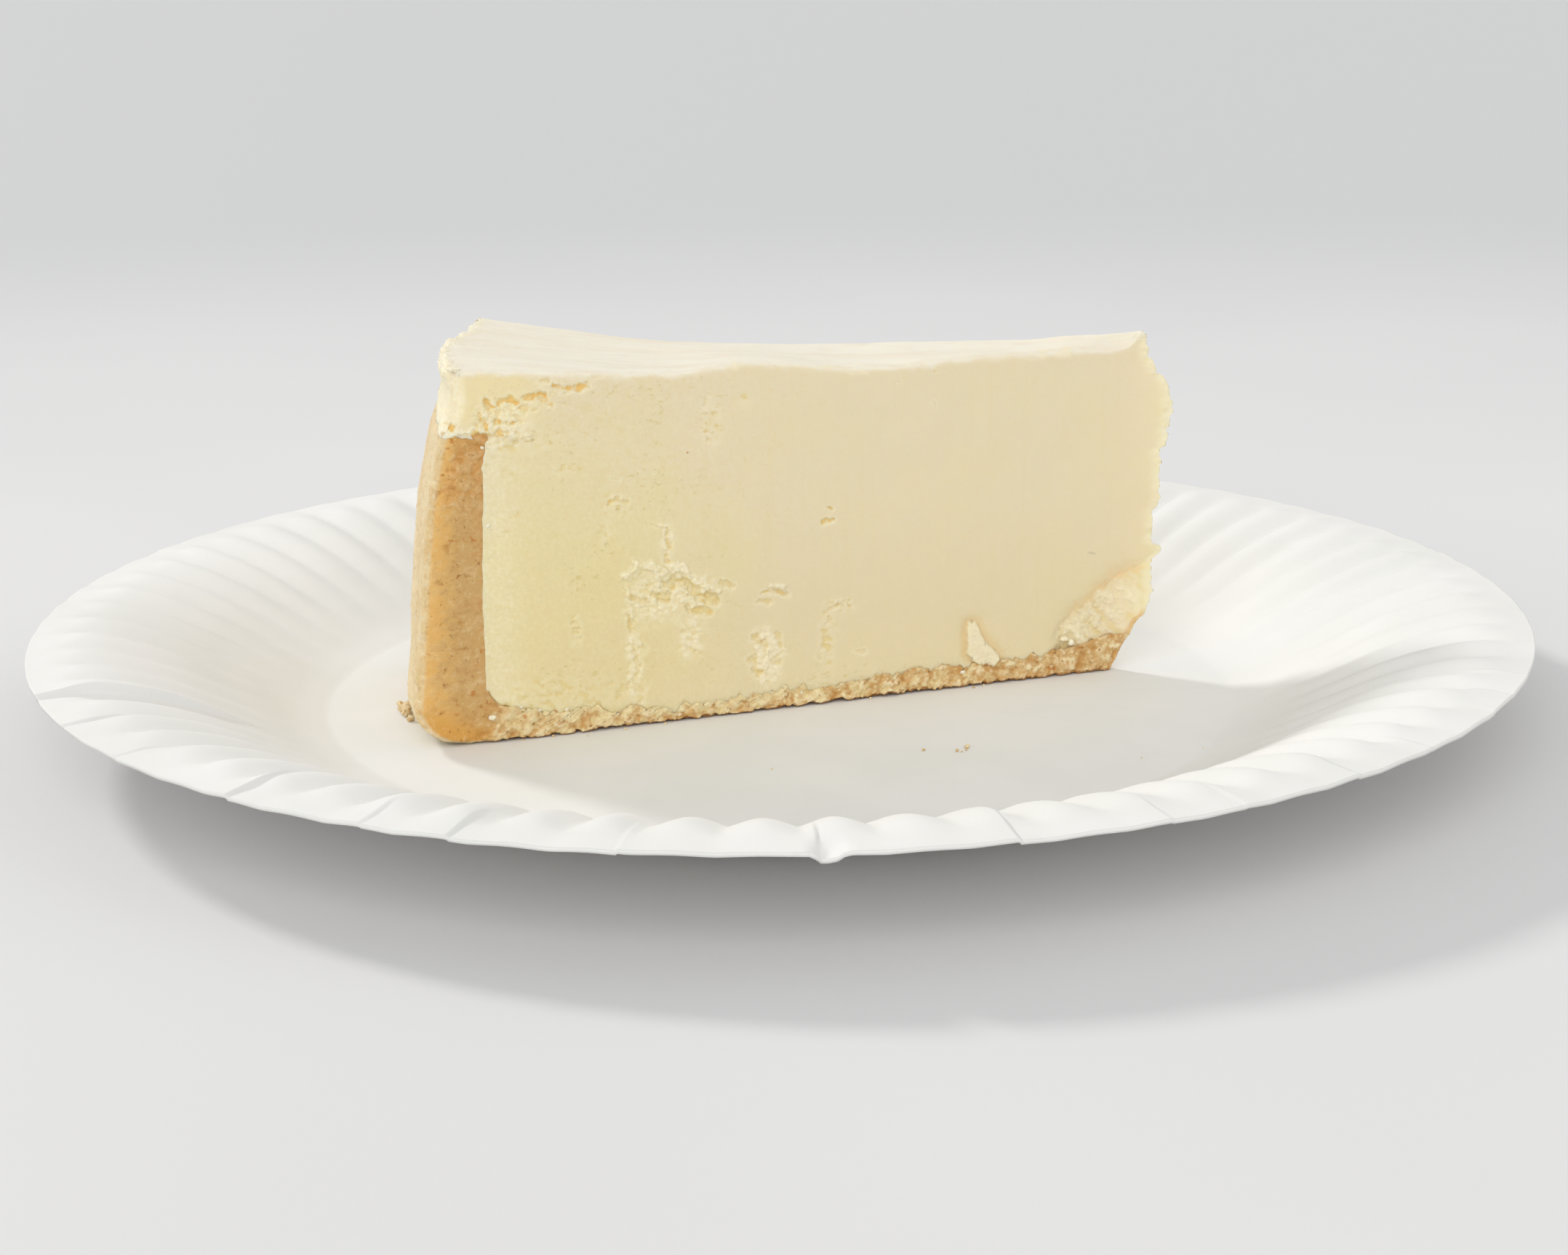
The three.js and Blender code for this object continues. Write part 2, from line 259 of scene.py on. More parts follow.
def block_lattice(steps, finer):
    """Lattice places and faces of the skin of a block with the given steps in three directions.
    finer gives, for a direction and an end, 0 or 1, how many times each cell of that sheet is
    halved: 0, 1 or 2."""
    size = CELL * np.array(steps)
    stride = np.array([(size[1] + 1) * (size[2] + 1), size[2] + 1, 1])
    quads = []
    for axis in range(3):
        u, v = [k for k in range(3) if k != axis]
        if axis == 1:
            u, v = v, u
        for end in (0, 1):
            level = finer.get((axis, end), np.zeros((steps[u], steps[v]), int))
            if axis == 1 and (axis, end) in finer:
                level = level.T
            for halved in range(3):
                cells = np.argwhere(level == halved)
                if not len(cells):
                    continue
                step = CELL >> halved
                inner = np.stack(np.meshgrid(*[np.arange(0, CELL, step)] * 2, indexing="ij"), -1)
                low = (CELL * cells[:, None] + inner.reshape(1, -1, 2)).reshape(-1, 2)
                quad = np.zeros((len(low), 4, 3), int)
                quad[:, :, axis] = end * size[axis]
                quad[:, :, u] = low[:, :1] + np.array([0, step, step, 0])
                quad[:, :, v] = low[:, 1:] + np.array([0, 0, step, step])
                quads.append(quad if end else quad[:, ::-1])
    quads = np.concatenate(quads)
    keys = quads @ stride
    used = np.unique(keys)
    # A cell takes in the corners that a finer neighbour has on their common edge
    along = np.roll(quads, -1, axis=1) - quads
    length = np.abs(along).sum(axis=2)
    unit = np.sign(along) @ stride
    found = np.full(length.shape + (CELL - 1,), -1)
    for k in range(1, CELL):
        key = keys + k * unit
        at = np.clip(np.searchsorted(used, key), 0, len(used) - 1)
        found[..., k - 1] = np.where((length > k) & (used[at] == key), at, -1)
    number = np.searchsorted(used, keys)
    plain = (found < 0).all(axis=(1, 2))
    faces = number[plain].tolist()
    for corners, more in zip(number[~plain].tolist(), found[~plain].tolist()):
        sides = ([corner] + [e for e in extra if e >= 0] for corner, extra in zip(corners, more))
        faces.append([n for side in sides for n in side])
    places = triples(used // stride[0], used % stride[0] // stride[1], used % stride[1]) / CELL
    return places, faces


def round_edge(a, b, radius):
    """How far two faces' distances a and b move inwards to round the edge between them."""
    qa, qb = np.maximum(radius - a, 0), np.maximum(radius - b, 0)
    length = np.hypot(qa, qb)
    share = np.where(length > radius, 1 - radius / np.maximum(length, 1e-9), 0)
    return qa * share, qb * share


# Plate

def fold_step(azimuth, radius):
    """How far the folds lift the rim; each opens from its inner end and closes at the edge."""
    lift = np.zeros_like(azimuth)
    closing = 1 - FOLD_CLOSING * smooth(radius, *FOLD_CLOSED)
    for fold, height, start in RIM_FOLDS:
        beside = azimuth - fold
        share = np.clip(beside / FOLD_HALF_WIDTH, -1, 1)
        here = height * smooth(radius, start, min(start + FOLD_LENGTH, FOLD_OPEN_BY)) * closing
        lift -= 0.5 * here * share * np.exp(-np.abs(beside) / FOLD_REACH)
    tab = np.exp(-((azimuth - TAB_AZIMUTH) / TAB_HALF_ANGLE) ** 4)
    return lift - TAB_DROP * tab * smooth(radius, TAB_START, PLATE_RADIUS)


def rim_height(radius, azimuth):
    """Height of the plate's upper surface above its floor."""
    turns = (azimuth - FLUTE_CREST) * FLUTE_COUNT / 360
    from_crest = turns - np.round(turns)
    crest = 0.5 * (1 / 3 - 4 * from_crest ** 2) + 0.25 * np.cos(2 * math.pi * from_crest)
    number = np.round(turns) % FLUTE_COUNT
    uneven = 1 + 0.22 * np.sin(number * 12.9898) + 0.12 * np.sin(number * 4.1)
    rise = smooth(radius, *FLUTE_START)
    pressed = 1 - PRESSED_SHARE * smooth(radius, *PRESSED_BAND)
    flutes = FLUTE_DEPTH * uneven * crest * rise * pressed
    return curve_at(RIM_PROFILE, radius) + flutes + fold_step(azimuth, radius)


def plate():
    """The whole plate, with more columns of points beside each fold."""
    folds = [fold for fold, _, _ in RIM_FOLDS]
    flute = 360 / (FLUTE_COUNT * FLUTE_COLUMNS)
    even = FLUTE_CREST - 180 + flute * np.arange(FLUTE_COUNT * FLUTE_COLUMNS)
    even = np.where(even < -180, even + 360, even)
    clear = np.min(np.abs(even[:, None] - np.array(folds)), axis=1) > CLEAR_OF_FOLD
    columns = np.sort(np.concatenate([even[clear]] + [f + np.array(FOLD_COLUMNS) for f in folds]))
    rim_rings = np.arange(FLOOR_RADIUS, EDGE_RINGS[0], RIM_RING_STEP)
    rings = np.concatenate([FLOOR_RINGS, rim_rings, EDGE_RINGS])
    radius, azimuth = np.meshgrid(rings, columns, indexing="ij")
    height = rim_height(radius.ravel(), azimuth.ravel()).reshape(radius.shape)
    height[radius <= FLOOR_RADIUS] = 0
    pulled_in = 0.8 * np.maximum(0, -fold_step(azimuth, radius))
    edge = radius - pulled_in * smooth(radius, 104, PLATE_RADIUS)
    angle = np.radians(azimuth)
    flat = np.stack([edge * np.cos(angle), edge * np.sin(angle)], -1)
    places = np.concatenate([flat, np.zeros(flat.shape[:2] + (1,))], -1).reshape(-1, 3)
    grain = 0.035 * fractal(places, 1.6, 3, seed=3) + 0.05 * noise(places, 14, seed=4)
    top = height + PLATE_THICKNESS + grain.reshape(radius.shape) * smooth(radius, 0, 60)
    top = np.minimum(top, height + PLATE_THICKNESS + 0.02)
    points = [np.concatenate([flat, z[..., None]], -1).reshape(-1, 3) for z in (top, height)]
    points = np.concatenate(points + [np.array([[0, 0, PLATE_THICKNESS], [0, 0, 0]])])
    number, turned, quads = tube_faces(*radius.shape)
    lower = number.size
    rim = np.stack([number[-1], number[-1] + lower, turned[-1] + lower, turned[-1]], -1)
    middle = np.full(radius.shape[1], len(points) - 2)
    fan = np.stack([middle, number[0], turned[0]], -1)
    fan_below = np.stack([middle + 1, turned[0] + lower, number[0] + lower], -1)
    sheets = (quads, quads[:, ::-1] + lower, rim, fan, fan_below)
    return make_mesh("plate_paper", points, [face for sheet in sheets for face in sheet.tolist()])


# Slice

def wedge(distance, side, height, inset=0):
    """Places in the slice from the distance to its point, the side, from -1 at the back cut to 1
    at the front cut, the height above the plate's floor and how far inside the cut face."""
    half, middle = math.radians(WEDGE_ANGLE / 2), math.radians(MIDDLE_AZIMUTH)
    across = side * half_width(distance) - np.sign(side) * inset
    along = distance * np.cos(side * half)
    x = POINT[0] + along * math.cos(middle) - across * math.sin(middle)
    y = POINT[1] + along * math.sin(middle) + across * math.cos(middle)
    return np.stack([x, y, PLATE_THICKNESS + height], -1)


def half_width(distance):
    """Half the slice's width, which stays blunt at its point."""
    spread = distance * math.sin(math.radians(WEDGE_ANGLE / 2))
    return (spread + np.sqrt(spread ** 2 + 4 * POINT_HALF_WIDTH ** 2)) / 2


def outer_distance(height, side):
    """Distance of the outer side, slightly worn near the top of the back cut."""
    worn = np.exp(-((side - WORN_SIDE) / WORN_REACH) ** 2)
    worn = WORN_DEPTH * smooth(height, *WORN_HEIGHTS) * worn
    return curve_at(OUTER_PROFILE, height) + OUTER_SKEW * side - OUTER_FLATTENING * side ** 2 - worn


def point_distance(height):
    """Distance of the ragged edge at the point, with small teeth."""
    at = triples(0, 0, height)
    teeth = 0.12 * noise(at, 1.3, seed=31) + 0.3 * noise(at, 0.7, seed=32)
    teeth += 0.14 * noise(at, 0.35, seed=33)
    return line_at(RAGGED_POINT, height) + teeth * smooth(height, 7, 10)


def wall_top(side, distance):
    """Height of the ledge on the wall, higher in its middle; it levels off towards the point."""
    return WALL_TOP_AT_CUT + WALL_TOP_RISE * (1 - side ** 2) * smooth(distance, 30, 95)


def top_height(distance, side):
    return lerp(curve_at(TOP_BACK, distance), curve_at(TOP_FRONT, distance), (side + 1) / 2)


def wall_inner(height, side):
    """Distance of the meeting of filling and wall, which wanders a little, more near its top."""
    at = triples(0, 25 * side, height)
    reach = 0.12 + 0.3 * smooth(height, 34, 42)
    return curve_at(WALL_INNER, height) + reach * fractal(at, 2.6, 3, seed=42)


def base_top(distance, side):
    """Height of the pastry base, which curves up into the wall and is ragged at the cuts."""
    flat = curve_at(BASE_TOP, distance)
    beyond = np.clip((distance - INNER_FILLET_CENTRE[0]) / INNER_FILLET_RADIUS, 0, 0.97)
    fillet = INNER_FILLET_CENTRE[1] - INNER_FILLET_RADIUS * np.sqrt(1 - beyond ** 2)
    at = triples(distance, side * half_width(distance), 0)
    ragged = fractal(at, 1.5, 3, seed=43, fade=0.7) * smooth(distance, 2, 8)
    uneven = 0.45 * fractal(at, 4.5, 3, seed=41) + 0.5 * smooth(np.abs(side), 0.8, 1) * ragged
    return np.where(distance > INNER_FILLET_CENTRE[0], np.maximum(flat, fillet), flat) + uneven


# Torn marks in the front cut: half width, depth (negative stands proud), how much painted amber shade
# lies inside it, then the places it passes through, as distance and height
FRONT_MARKS = [
    (0.4, 0.5, 1, (97.2, 54), (96, 53.4)),
    (0.55, 0.8, 1, (95.3, 52.9), (93.9, 52.4), (92.2, 52.3), (90.2, 52.5)),
    (0.35, 0.3, 0.6, (89.2, 53.7), (87.8, 54.2)),
    (0.65, 1, 1, (99.8, 51.5), (98.4, 51.6), (97.1, 51.7)),
    (0.35, 0.5, 0.8, (97.1, 51.2), (95.9, 50.2)),
    (0.5, 0.7, 0.9, (103.2, 51), (102, 51.3), (100.7, 50.9)),
    (0.7, 1.1, 1, (105.3, 51.2), (104.6, 50.2)), (0.5, 0.6, 0.6, (104.3, 49.4), (103.1, 49.6)),
    (0.6, 0.7, 0.8, (106.1, 49.2), (105.7, 47.7)), (0.45, 0.7, 0.8, (107, 47.8), (107, 46.6)),
    (0.6, 0.9, 0.9, (106.5, 45.9), (104.7, 46.2), (103, 46.5)),
    (0.4, 0.7, 0.7, (103.9, 48.1), (101.4, 47.7)), (0.35, 0.4, 0.6, (101, 48.6), (100.3, 48.4)),
    (0.4, 0.5, 0.6, (100.4, 50), (99.5, 49.9)), (0.35, 0.4, 0.8, (98.6, 49.7), (98, 49.8)),
    (0.6, 0.9, 1, (111.2, 48), (110.3, 47.8)), (0.5, 0.7, 0.55, (87.3, 34.9), (86.1, 35)),
    (0.4, 0.6, 0.55, (85.2, 34.8), (84.5, 34.9)), (0.25, 0.25, 0.4, (87, 38.4), (86.2, 38.3)),
    (0.25, 0.3, 0.3, (81.2, 31.2), (79.4, 30.6)),
    (0.45, 0.7, 0.4, (78.9, 30.4), (78.3, 28.9), (78.5, 27), (78.6, 25.5)),
    (0.9, 1.3, 0.4, (78.6, 21.6), (76.8, 21.9), (75.4, 20.8), (74.4, 19.7)),
    (0.75, 1.4, 0.5, (73.6, 18.9), (72.3, 18.9), (71.4, 18.2)),
    (0.6, 1.2, 0.45, (75.3, 17.7), (73.4, 16.9), (72.2, 16.6)),
    (0.5, 0.7, 0.3, (84.4, 19.9), (82.4, 19.3)), (0.6, 0.9, 0.35, (81.3, 20.4), (79.2, 19.6)),
    (0.3, 0.9, 0.4, (85.3, 17.5), (84.8, 15.2)),
    (0.4, 0.45, 0.25, (84.2, 12.6), (83.8, 10), (84, 6.5), (83.3, 3.8)),
    (0.45, 0.5, 0.3, (84.6, 12.7), (82.5, 12.2)), (0.5, 0.55, 0.3, (83.9, 10.3), (83.6, 9.5)),
    (0.45, 0.45, 0.3, (85, 6.5), (83, 5.5)), (0.4, 0.45, 0.35, (93.4, 17), (93.1, 16.4)),
    (0.35, 0.35, 0.3, (93.4, 15), (92.8, 14.8)), (0.45, 0.45, 0.3, (76.4, 13.7), (74, 13.7)),
    (0.45, 0.5, 0.4, (75.4, 11.2), (74.6, 10.9)), (0.5, 0.7, 0.45, (70.1, 21.1), (68.6, 20.4)),
    (0.42, 0.8, 0.5, (63.5, 18.9), (61.9, 19), (59.7, 18.2)),
    (0.45, 0.7, 0.4, (64, 17.6), (62.7, 17.2)), (0.65, 0.8, 0.45, (64.7, 11.8), (63.3, 10.9)),
    (0.65, 0.75, 0.35, (65.2, 8.6), (64.7, 6.6), (63.8, 6)),
    (0.4, 0.5, 0.3, (61.2, 12), (60.4, 9.2), (61.6, 7.6)), (0.4, 0.45, 0.3, (53, 15), (51, 15.6)),
    (0.3, 0.3, 0.3, (53, 13), (52.2, 13.2)), (0.3, 0.25, 0.3, (53.6, 10), (54.4, 7.4)),
    (0.4, 0.4, 0.5, (48, 8), (47.2, 7.8)), (0.35, 0.35, 0.3, (72.3, 49.2), (72.2, 48.4)),
    (0.4, 0.35, 0.35, (71.6, 43.2), (70.9, 42.8)), (0.24, 0.7, 0.5, (53.3, 31.3), (51.9, 30.9)),
    (0.3, 0.9, 0.7, (53.6, 28.9), (51.9, 29.5)), (0.28, 0.35, 0.6, (35.6, 50.8), (35.3, 50.5)),
    (0.25, 0.2, 0.4, (35.6, 46.1), (35, 45.4)), (0.22, 0.25, 0.6, (41.2, 49.6), (41, 49.5)),
    (0.7, -0.5, 0, (85.4, 23.6), (83.4, 25), (81.1, 24.7), (79.5, 23.4)),
    (0.65, -0.55, 0, (78, 24), (76.6, 24.2), (75.4, 22.8)),
    (0.55, -0.5, 0, (74.6, 21.4), (72.9, 20.9), (71, 19.8)),
    (0.3, -0.45, 0, (84.9, 21.6), (84.7, 19.6), (84.6, 17)),
    (0.35, -0.35, 0, (80.2, 31.2), (78.6, 30.2)), (0.4, -0.35, 0, (62.5, 19.9), (60.4, 19.5)),
    (0.3, -0.4, 0, (63, 9.8), (62.9, 7.6), (63.1, 5)),
    (0.4, -0.35, 0, (105.6, 49.6), (103.1, 48.6)), (0.4, -0.3, 0, (104.1, 47.3), (101.4, 47)),
    (0.5, -0.5, 0, (113.2, 46.4), (110.6, 47), (108, 47.2), (105.4, 47), (102.6, 46.2), (99.4, 46)),
    (0.3, -0.3, 0, (52, 15.8), (50.2, 16.3)),
]
# Rough torn ground in the front cut: distance, height, half length, half height, roughness
FRONT_ROUGH = [
    (80.5, 20.0, 5.4, 4.6, 0.55), (74.5, 20.0, 4.0, 3.2, 0.4), (103.0, 48.3, 4.4, 3.2, 0.5),
    (84.2, 10.0, 1.5, 7.5, 0.3), (62.8, 8.5, 2.8, 5.0, 0.45), (75.2, 13.0, 2.4, 4.2, 0.28),
    (53.0, 11.0, 1.6, 5.5, 0.12), (78.6, 28.4, 1.2, 3.2, 0.3), (71.3, 45.5, 1.8, 4.0, 0.1),
    (86.4, 34.0, 2.2, 1.6, 0.14), (88.0, 30.5, 1.0, 2.4, 0.08), (93.4, 40.5, 2.4, 1.2, 0.08),
    (102.0, 40.8, 2.2, 0.8, 0.1), (102.4, 34.6, 2.0, 0.8, 0.1), (66.0, 48.5, 0.8, 1.4, 0.08),
    (98.0, 6.5, 7.0, 3.0, 0.08), (89.0, 6.0, 4.0, 2.5, 0.08), (93.2, 16.2, 0.8, 2.6, 0.2),
    (100.0, 45.0, 6.0, 1.6, 0.14), (50.5, 15.6, 2.4, 1.3, 0.16),
]
# The broken corner under the point, and the flake that curls off in front of it
BROKEN_PATCH = [
    (0.8, 16.0), (3.7, 15.2), (6.7, 13.0), (9.0, 10.8), (10.8, 10.1), (13.1, 7.6), (13.3, 5.2),
    (13.0, 2.5), (4.0, 2.5), (-3.5, 8), (-4.5, 12.0), (-3.0, 16.5),
]
CURLED_FLAKE = [
    (29.0, 10.3), (28.2, 10.3), (27.5, 8.8), (26.6, 7.0), (24.6, 5.0), (24.2, 4.2), (25.1, 3.0),
    (26.6, 3.4), (28.3, 4.4), (29.3, 5.6), (29.1, 7.4), (29.3, 8.8),
]
FLAKE_LIFT = 0.8
# Smears of torn filling on the front edge of the top: distance, half length
TOP_SMEARS = [(50.6, 3.4), (46.4, 1.6), (16.2, 2.2), (12.9, 0.9), (67.0, 0.8)]
# Torn marks and rough ground in the back cut, in the same form as the front's
BACK_MARKS = [
    (0.5, 0.7, 0.6, (104.8, 50.2), (102.6, 50.9), (100.9, 50.4)),
    (0.4, 0.5, 0.5, (99.4, 49.2), (98.1, 49.6)), (0.45, 0.6, 0.6, (105.6, 47.9), (104.2, 47.2)),
    (0.6, 1, 0.4, (69.8, 24.9), (71.9, 25.8), (73.4, 25.1), (75.6, 25.6)),
    (0.5, 0.9, 0.4, (71.4, 23.4), (73.2, 22.6)),
    (0.35, 0.6, 0.3, (70.3, 22.9), (69.6, 19.8), (69.9, 16.2), (69.3, 12.4)),
    (0.45, 0.6, 0.3, (69, 11.2), (70.6, 10.4)), (0.6, -0.5, 0, (70, 26.6), (72.4, 27.4), (75, 27)),
    (0.35, -0.4, 0, (70.6, 20.6), (70.4, 17)), (0.4, 0.5, 0.4, (88.4, 33.8), (86.9, 34.3)),
    (0.3, 0.35, 0.3, (85.9, 32.9), (85.2, 32.7)), (0.3, 0.4, 0.4, (52.6, 38.4), (51.8, 38.1)),
    (0.25, 0.35, 0.5, (31.2, 44), (30.8, 43.8)),
    (0.55, 0.7, 0.4, (26.6, 8.9), (24.1, 8.2), (22.4, 8.7)),
    (0.45, -0.35, 0, (27, 10.2), (24.4, 9.8)), (0.4, 0.5, 0.3, (43.2, 7.9), (41.2, 7.2)),
    (0.5, 0.6, 0.4, (6.4, 14.6), (4.2, 13)),
]
BACK_ROUGH = [
    (72.6, 24.6, 4.8, 3.4, 0.5), (69.9, 16, 1.6, 6.5, 0.28), (102.6, 49.2, 4.2, 3.0, 0.45),
    (25, 8.8, 4.4, 2.2, 0.35), (87, 33.6, 2.2, 1.5, 0.14), (42, 7.6, 2.2, 1.5, 0.14),
    (5, 13, 3.6, 3.8, 0.4), (60, 5.2, 3.4, 1.8, 0.2),
]
# Where a cut face is grainy rather than smooth: more so towards the outer side and the base
GRAINY_FROM = (38, 100)
# The brown smear at the point ends between these heights
TIP_SMEAR_HEIGHTS = (10.5, 8.5)
# How far a mark reaches for its half width, and how deep or how proud it is for its depth
MARK_REACH = 1.75
PIT_GAIN = 0.36
PROUD_GAIN = 0.7


def distance_to_line(s, z, points):
    """Distance of places (s, z) to a broken line."""
    nearest = np.full(s.shape, np.inf)
    for (s0, z0), (s1, z1) in zip(points[:-1], points[1:]):
        ds, dz = s1 - s0, z1 - z0
        t = np.clip(((s - s0) * ds + (z - z0) * dz) / (ds * ds + dz * dz), 0, 1)
        nearest = np.minimum(nearest, np.hypot(s - s0 - t * ds, z - z0 - t * dz))
    return nearest


def depth_in_outline(s, z, outline):
    """Distance inside an outline, negative outside it."""
    nearest = distance_to_line(s, z, outline + outline[:1])
    inside = np.zeros(s.shape, bool)
    for (s0, z0), (s1, z1) in zip(outline, outline[1:] + outline[:1]):
        crosses = (z0 > z) != (z1 > z)
        at = s0 + (z - z0) * (s1 - s0) / np.where(z1 == z0, 1e-9, z1 - z0)
        inside ^= crosses & (s < at)
    return np.where(inside, nearest, -nearest)


def rough_share(s, z, rough, ragged=0):
    """How far each place lies in torn ground, and how rough that is."""
    share, size = np.zeros((2, len(s)))
    for along, up, length, rise, height in rough:
        from_middle = np.hypot((s - along) / length, (z - up) / rise)
        here = 1 - smooth(from_middle + ragged, 0.55, 1.2)
        share, size = np.maximum(share, here), np.maximum(size, here * height)
    return share, size


def relief(s, z, marks, rough, page):
    """Depth of a cut face inside its plane, how torn each place is, and painted shade in its hollows,
    plain and amber.
    """
    at = triples(s, z, page)
    wave = 0.22 * noise(at, 15, seed=51) + 0.08 * noise(at, 5, seed=52)
    warp_s, warp_z = 0.4 * fractal(at, 1.7, 2, seed=53), 0.3 * fractal(at, 1.4, 2, seed=54)
    ragged = fractal(at, 0.95, 4, seed=55, fade=0.65)
    big, small = curds(at * [1, 1.25, 1], 1.15, seed=56), curds(at * [1, 1.25, 1], 0.55, seed=57)
    share, size = rough_share(s, z, rough, 0.25 * ragged)
    pit, proud, orange_shade, lips = np.zeros((4, len(s)))
    for width, depth, pit_shade_tint, *points in marks:
        near = 1 - distance_to_line(s + warp_s, z + warp_z, points) / (MARK_REACH * width)
        inside = smooth(near + 0.38 * ragged, 0.18, 0.8)
        if depth > 0:
            here = PIT_GAIN * depth * inside * (0.7 + 0.3 * small + 0.3 * big)
            # Painted amber shade inside this pit
            orange_shade = np.where(here > pit, pit_shade_tint * inside, orange_shade)
            pit = np.maximum(pit, here)
            lips = np.maximum(lips, smooth(near + 0.4 * ragged, -0.25, 0.25) * (1 - inside))
        else:
            proud = np.maximum(proud, -PROUD_GAIN * depth * inside * (1.35 - 0.8 * small))
    broken = big + 0.5 * small - 0.85
    depth = wave + 0.6 * size * (0.25 + broken + 0.3 * ragged) + pit - proud
    torn = np.maximum(share * np.clip(0.75 - 0.7 * broken, 0, 1), smooth(proud, 0.03, 0.3))
    torn = np.maximum(torn, 0.45 * lips)
    speckle = 0.75 + 0.5 * fractal(at, 0.5, 2, seed=59)
    # Painted shade: the mask below darkens pits, rough hollows, dashes and dimples, the next paints
    # the pits amber
    pit_shade = np.maximum(smooth(pit, 0.03, 0.3) * speckle, 0.5 * share * smooth(broken, 0.05, 0.5))
    orange_shade = orange_shade * smooth(pit, 0.03, 0.25) * speckle
    near_wall = smooth(s, 97, 104)
    faint = share * smooth(size, 0.3, 0.14)
    dashes = faint * smooth(fractal(at * [1, 1.3, 1], 0.85, 3, seed=61, fade=0.7), 0.2, 0.65)
    torn = torn * (1 - 0.7 * faint) * (1 - dashes)
    pit_shade = np.maximum(pit_shade, 0.9 * dashes)
    depth = depth + 0.16 * dashes
    dimples = smooth(fractal(at * [1, 1, 1.4], 1.2, 4, seed=58, fade=0.65), 0.4, 1.0)
    dimples = dimples * smooth(s, 45, 95) * smooth(noise(at, 8, seed=60), -0.5, 0.5)
    depth = depth + 0.09 * near_wall * (small + 0.5 * ragged) + 0.12 * dimples
    pit_shade = np.maximum(pit_shade, 0.4 * dimples)
    return depth, torn, pit_shade, orange_shade, ragged, big, small


def front_relief(s, z):
    """Relief of the front cut, with its broken corner and curled flake."""
    depth, torn, pit_shade, orange_shade, ragged, big, small = relief(s, z, FRONT_MARKS, FRONT_ROUGH, 5.0)
    # Broken corner: a soft slope down to crumbly ground
    inside = depth_in_outline(s, z, BROKEN_PATCH) + 0.6 * ragged
    patch = smooth(inside, -0.3, 0.5)
    slope = smooth(inside, -2.6, 0.3)
    flaky = fractal(triples(s + z, 1.8 * (s - z), 9.0), 3.2, 5, seed=63, fade=0.6)
    crumbly = 0.34 * flaky + 0.16 * (big - 0.6) + 0.12 * (small - 0.5) - 0.05
    depth = depth + 0.75 * slope + patch * crumbly
    torn = np.maximum(torn, patch * np.clip(0.3 - 0.45 * flaky, 0.05, 0.8))
    # Painted shade in the broken ground's hollows
    pit_shade = np.maximum(pit_shade, patch * smooth(flaky, 0.2, 0.9) * 0.7)
    # Painted amber shade on the slope down into the broken corner
    painted_shade = slope * (1 - patch) * smooth(s, 14.5, 9)
    # Curled flake in its shallow scoop
    flake_inside = depth_in_outline(s, z, CURLED_FLAKE) + 0.12 * ragged
    flake = smooth(flake_inside, -0.42, -0.12)
    scoop = smooth(flake_inside, -1.9, -0.4) * (1 - flake) * smooth(z, 2.8, 4.2)
    lift = FLAKE_LIFT * (0.75 + 0.35 * smooth(s, 29, 24)) * (1.1 - 0.3 * small)
    depth = depth + 0.45 * scoop - lift * flake
    torn = np.maximum(torn * (1 - flake), 0.7 * flake)
    pit_shade = np.where(flake > 0.5, 0, pit_shade)
    # Painted amber shade in the scoop round the flake
    painted_shade = np.maximum(painted_shade, 0.6 * scoop)
    return depth, torn, pit_shade, orange_shade, painted_shade


def back_relief(s, z):
    """Relief of the back cut."""
    return relief(s, z, BACK_MARKS, BACK_ROUGH, 60.0)[:4] + (np.zeros_like(s),)


# Steps of the filling's mesh: along it, up to the wall, over the wall, across it, below the
# ledge on the wall and above it
LENGTH_STEPS, NEAR_STEPS, OVER_STEPS, LANES, LOWER_ROWS, UPPER_ROWS = 160, 10, 11, 20, 70, 16
WALL_STEPS = NEAR_STEPS + OVER_STEPS
TUCK_LENGTH = 0.8
TUCK_DEPTH = 1.6
SHELF_LIFT = 0.7
FADE_DEPTH = 3
FULL_LENGTH = 115
FULL_HEIGHT = 58
# How far the filling reaches into the pastry, so that no gap shows
OVERLAP = 0.3
# How far over the ledge the upper rows start
LEDGE_GAP = 0.1
# Steps past the length's end where the top's cells get finer, and the finest ones at the rim
FINER_AFTER = 6
FINEST_STEPS = 7
# The cuts' cells get finer above and beyond a corner, beyond a distance and near the point
FINER_CORNER = (99, 44)
FINER_WALL = 103
FINER_POINT = 3
# Rounding between cuts and top, cuts and outer side, top and outer side
TOP_ROUNDING = 0.85
CORNER_ROUNDING = 2.2
RIM_ROUNDING = 1.4
FAR = 99.0


def shelf_height(side, distance):
    """Height of the ledge where the filling covers the pastry wall, ragged at the cuts."""
    at = triples(distance, 40 * side, 3.0)
    ragged = 0.35 * noise(at, 1.6, seed=75) + 0.2 * noise(at, 0.6, seed=76)
    return wall_top(side, distance) + SHELF_LIFT + ragged * smooth(distance, 98, 104)


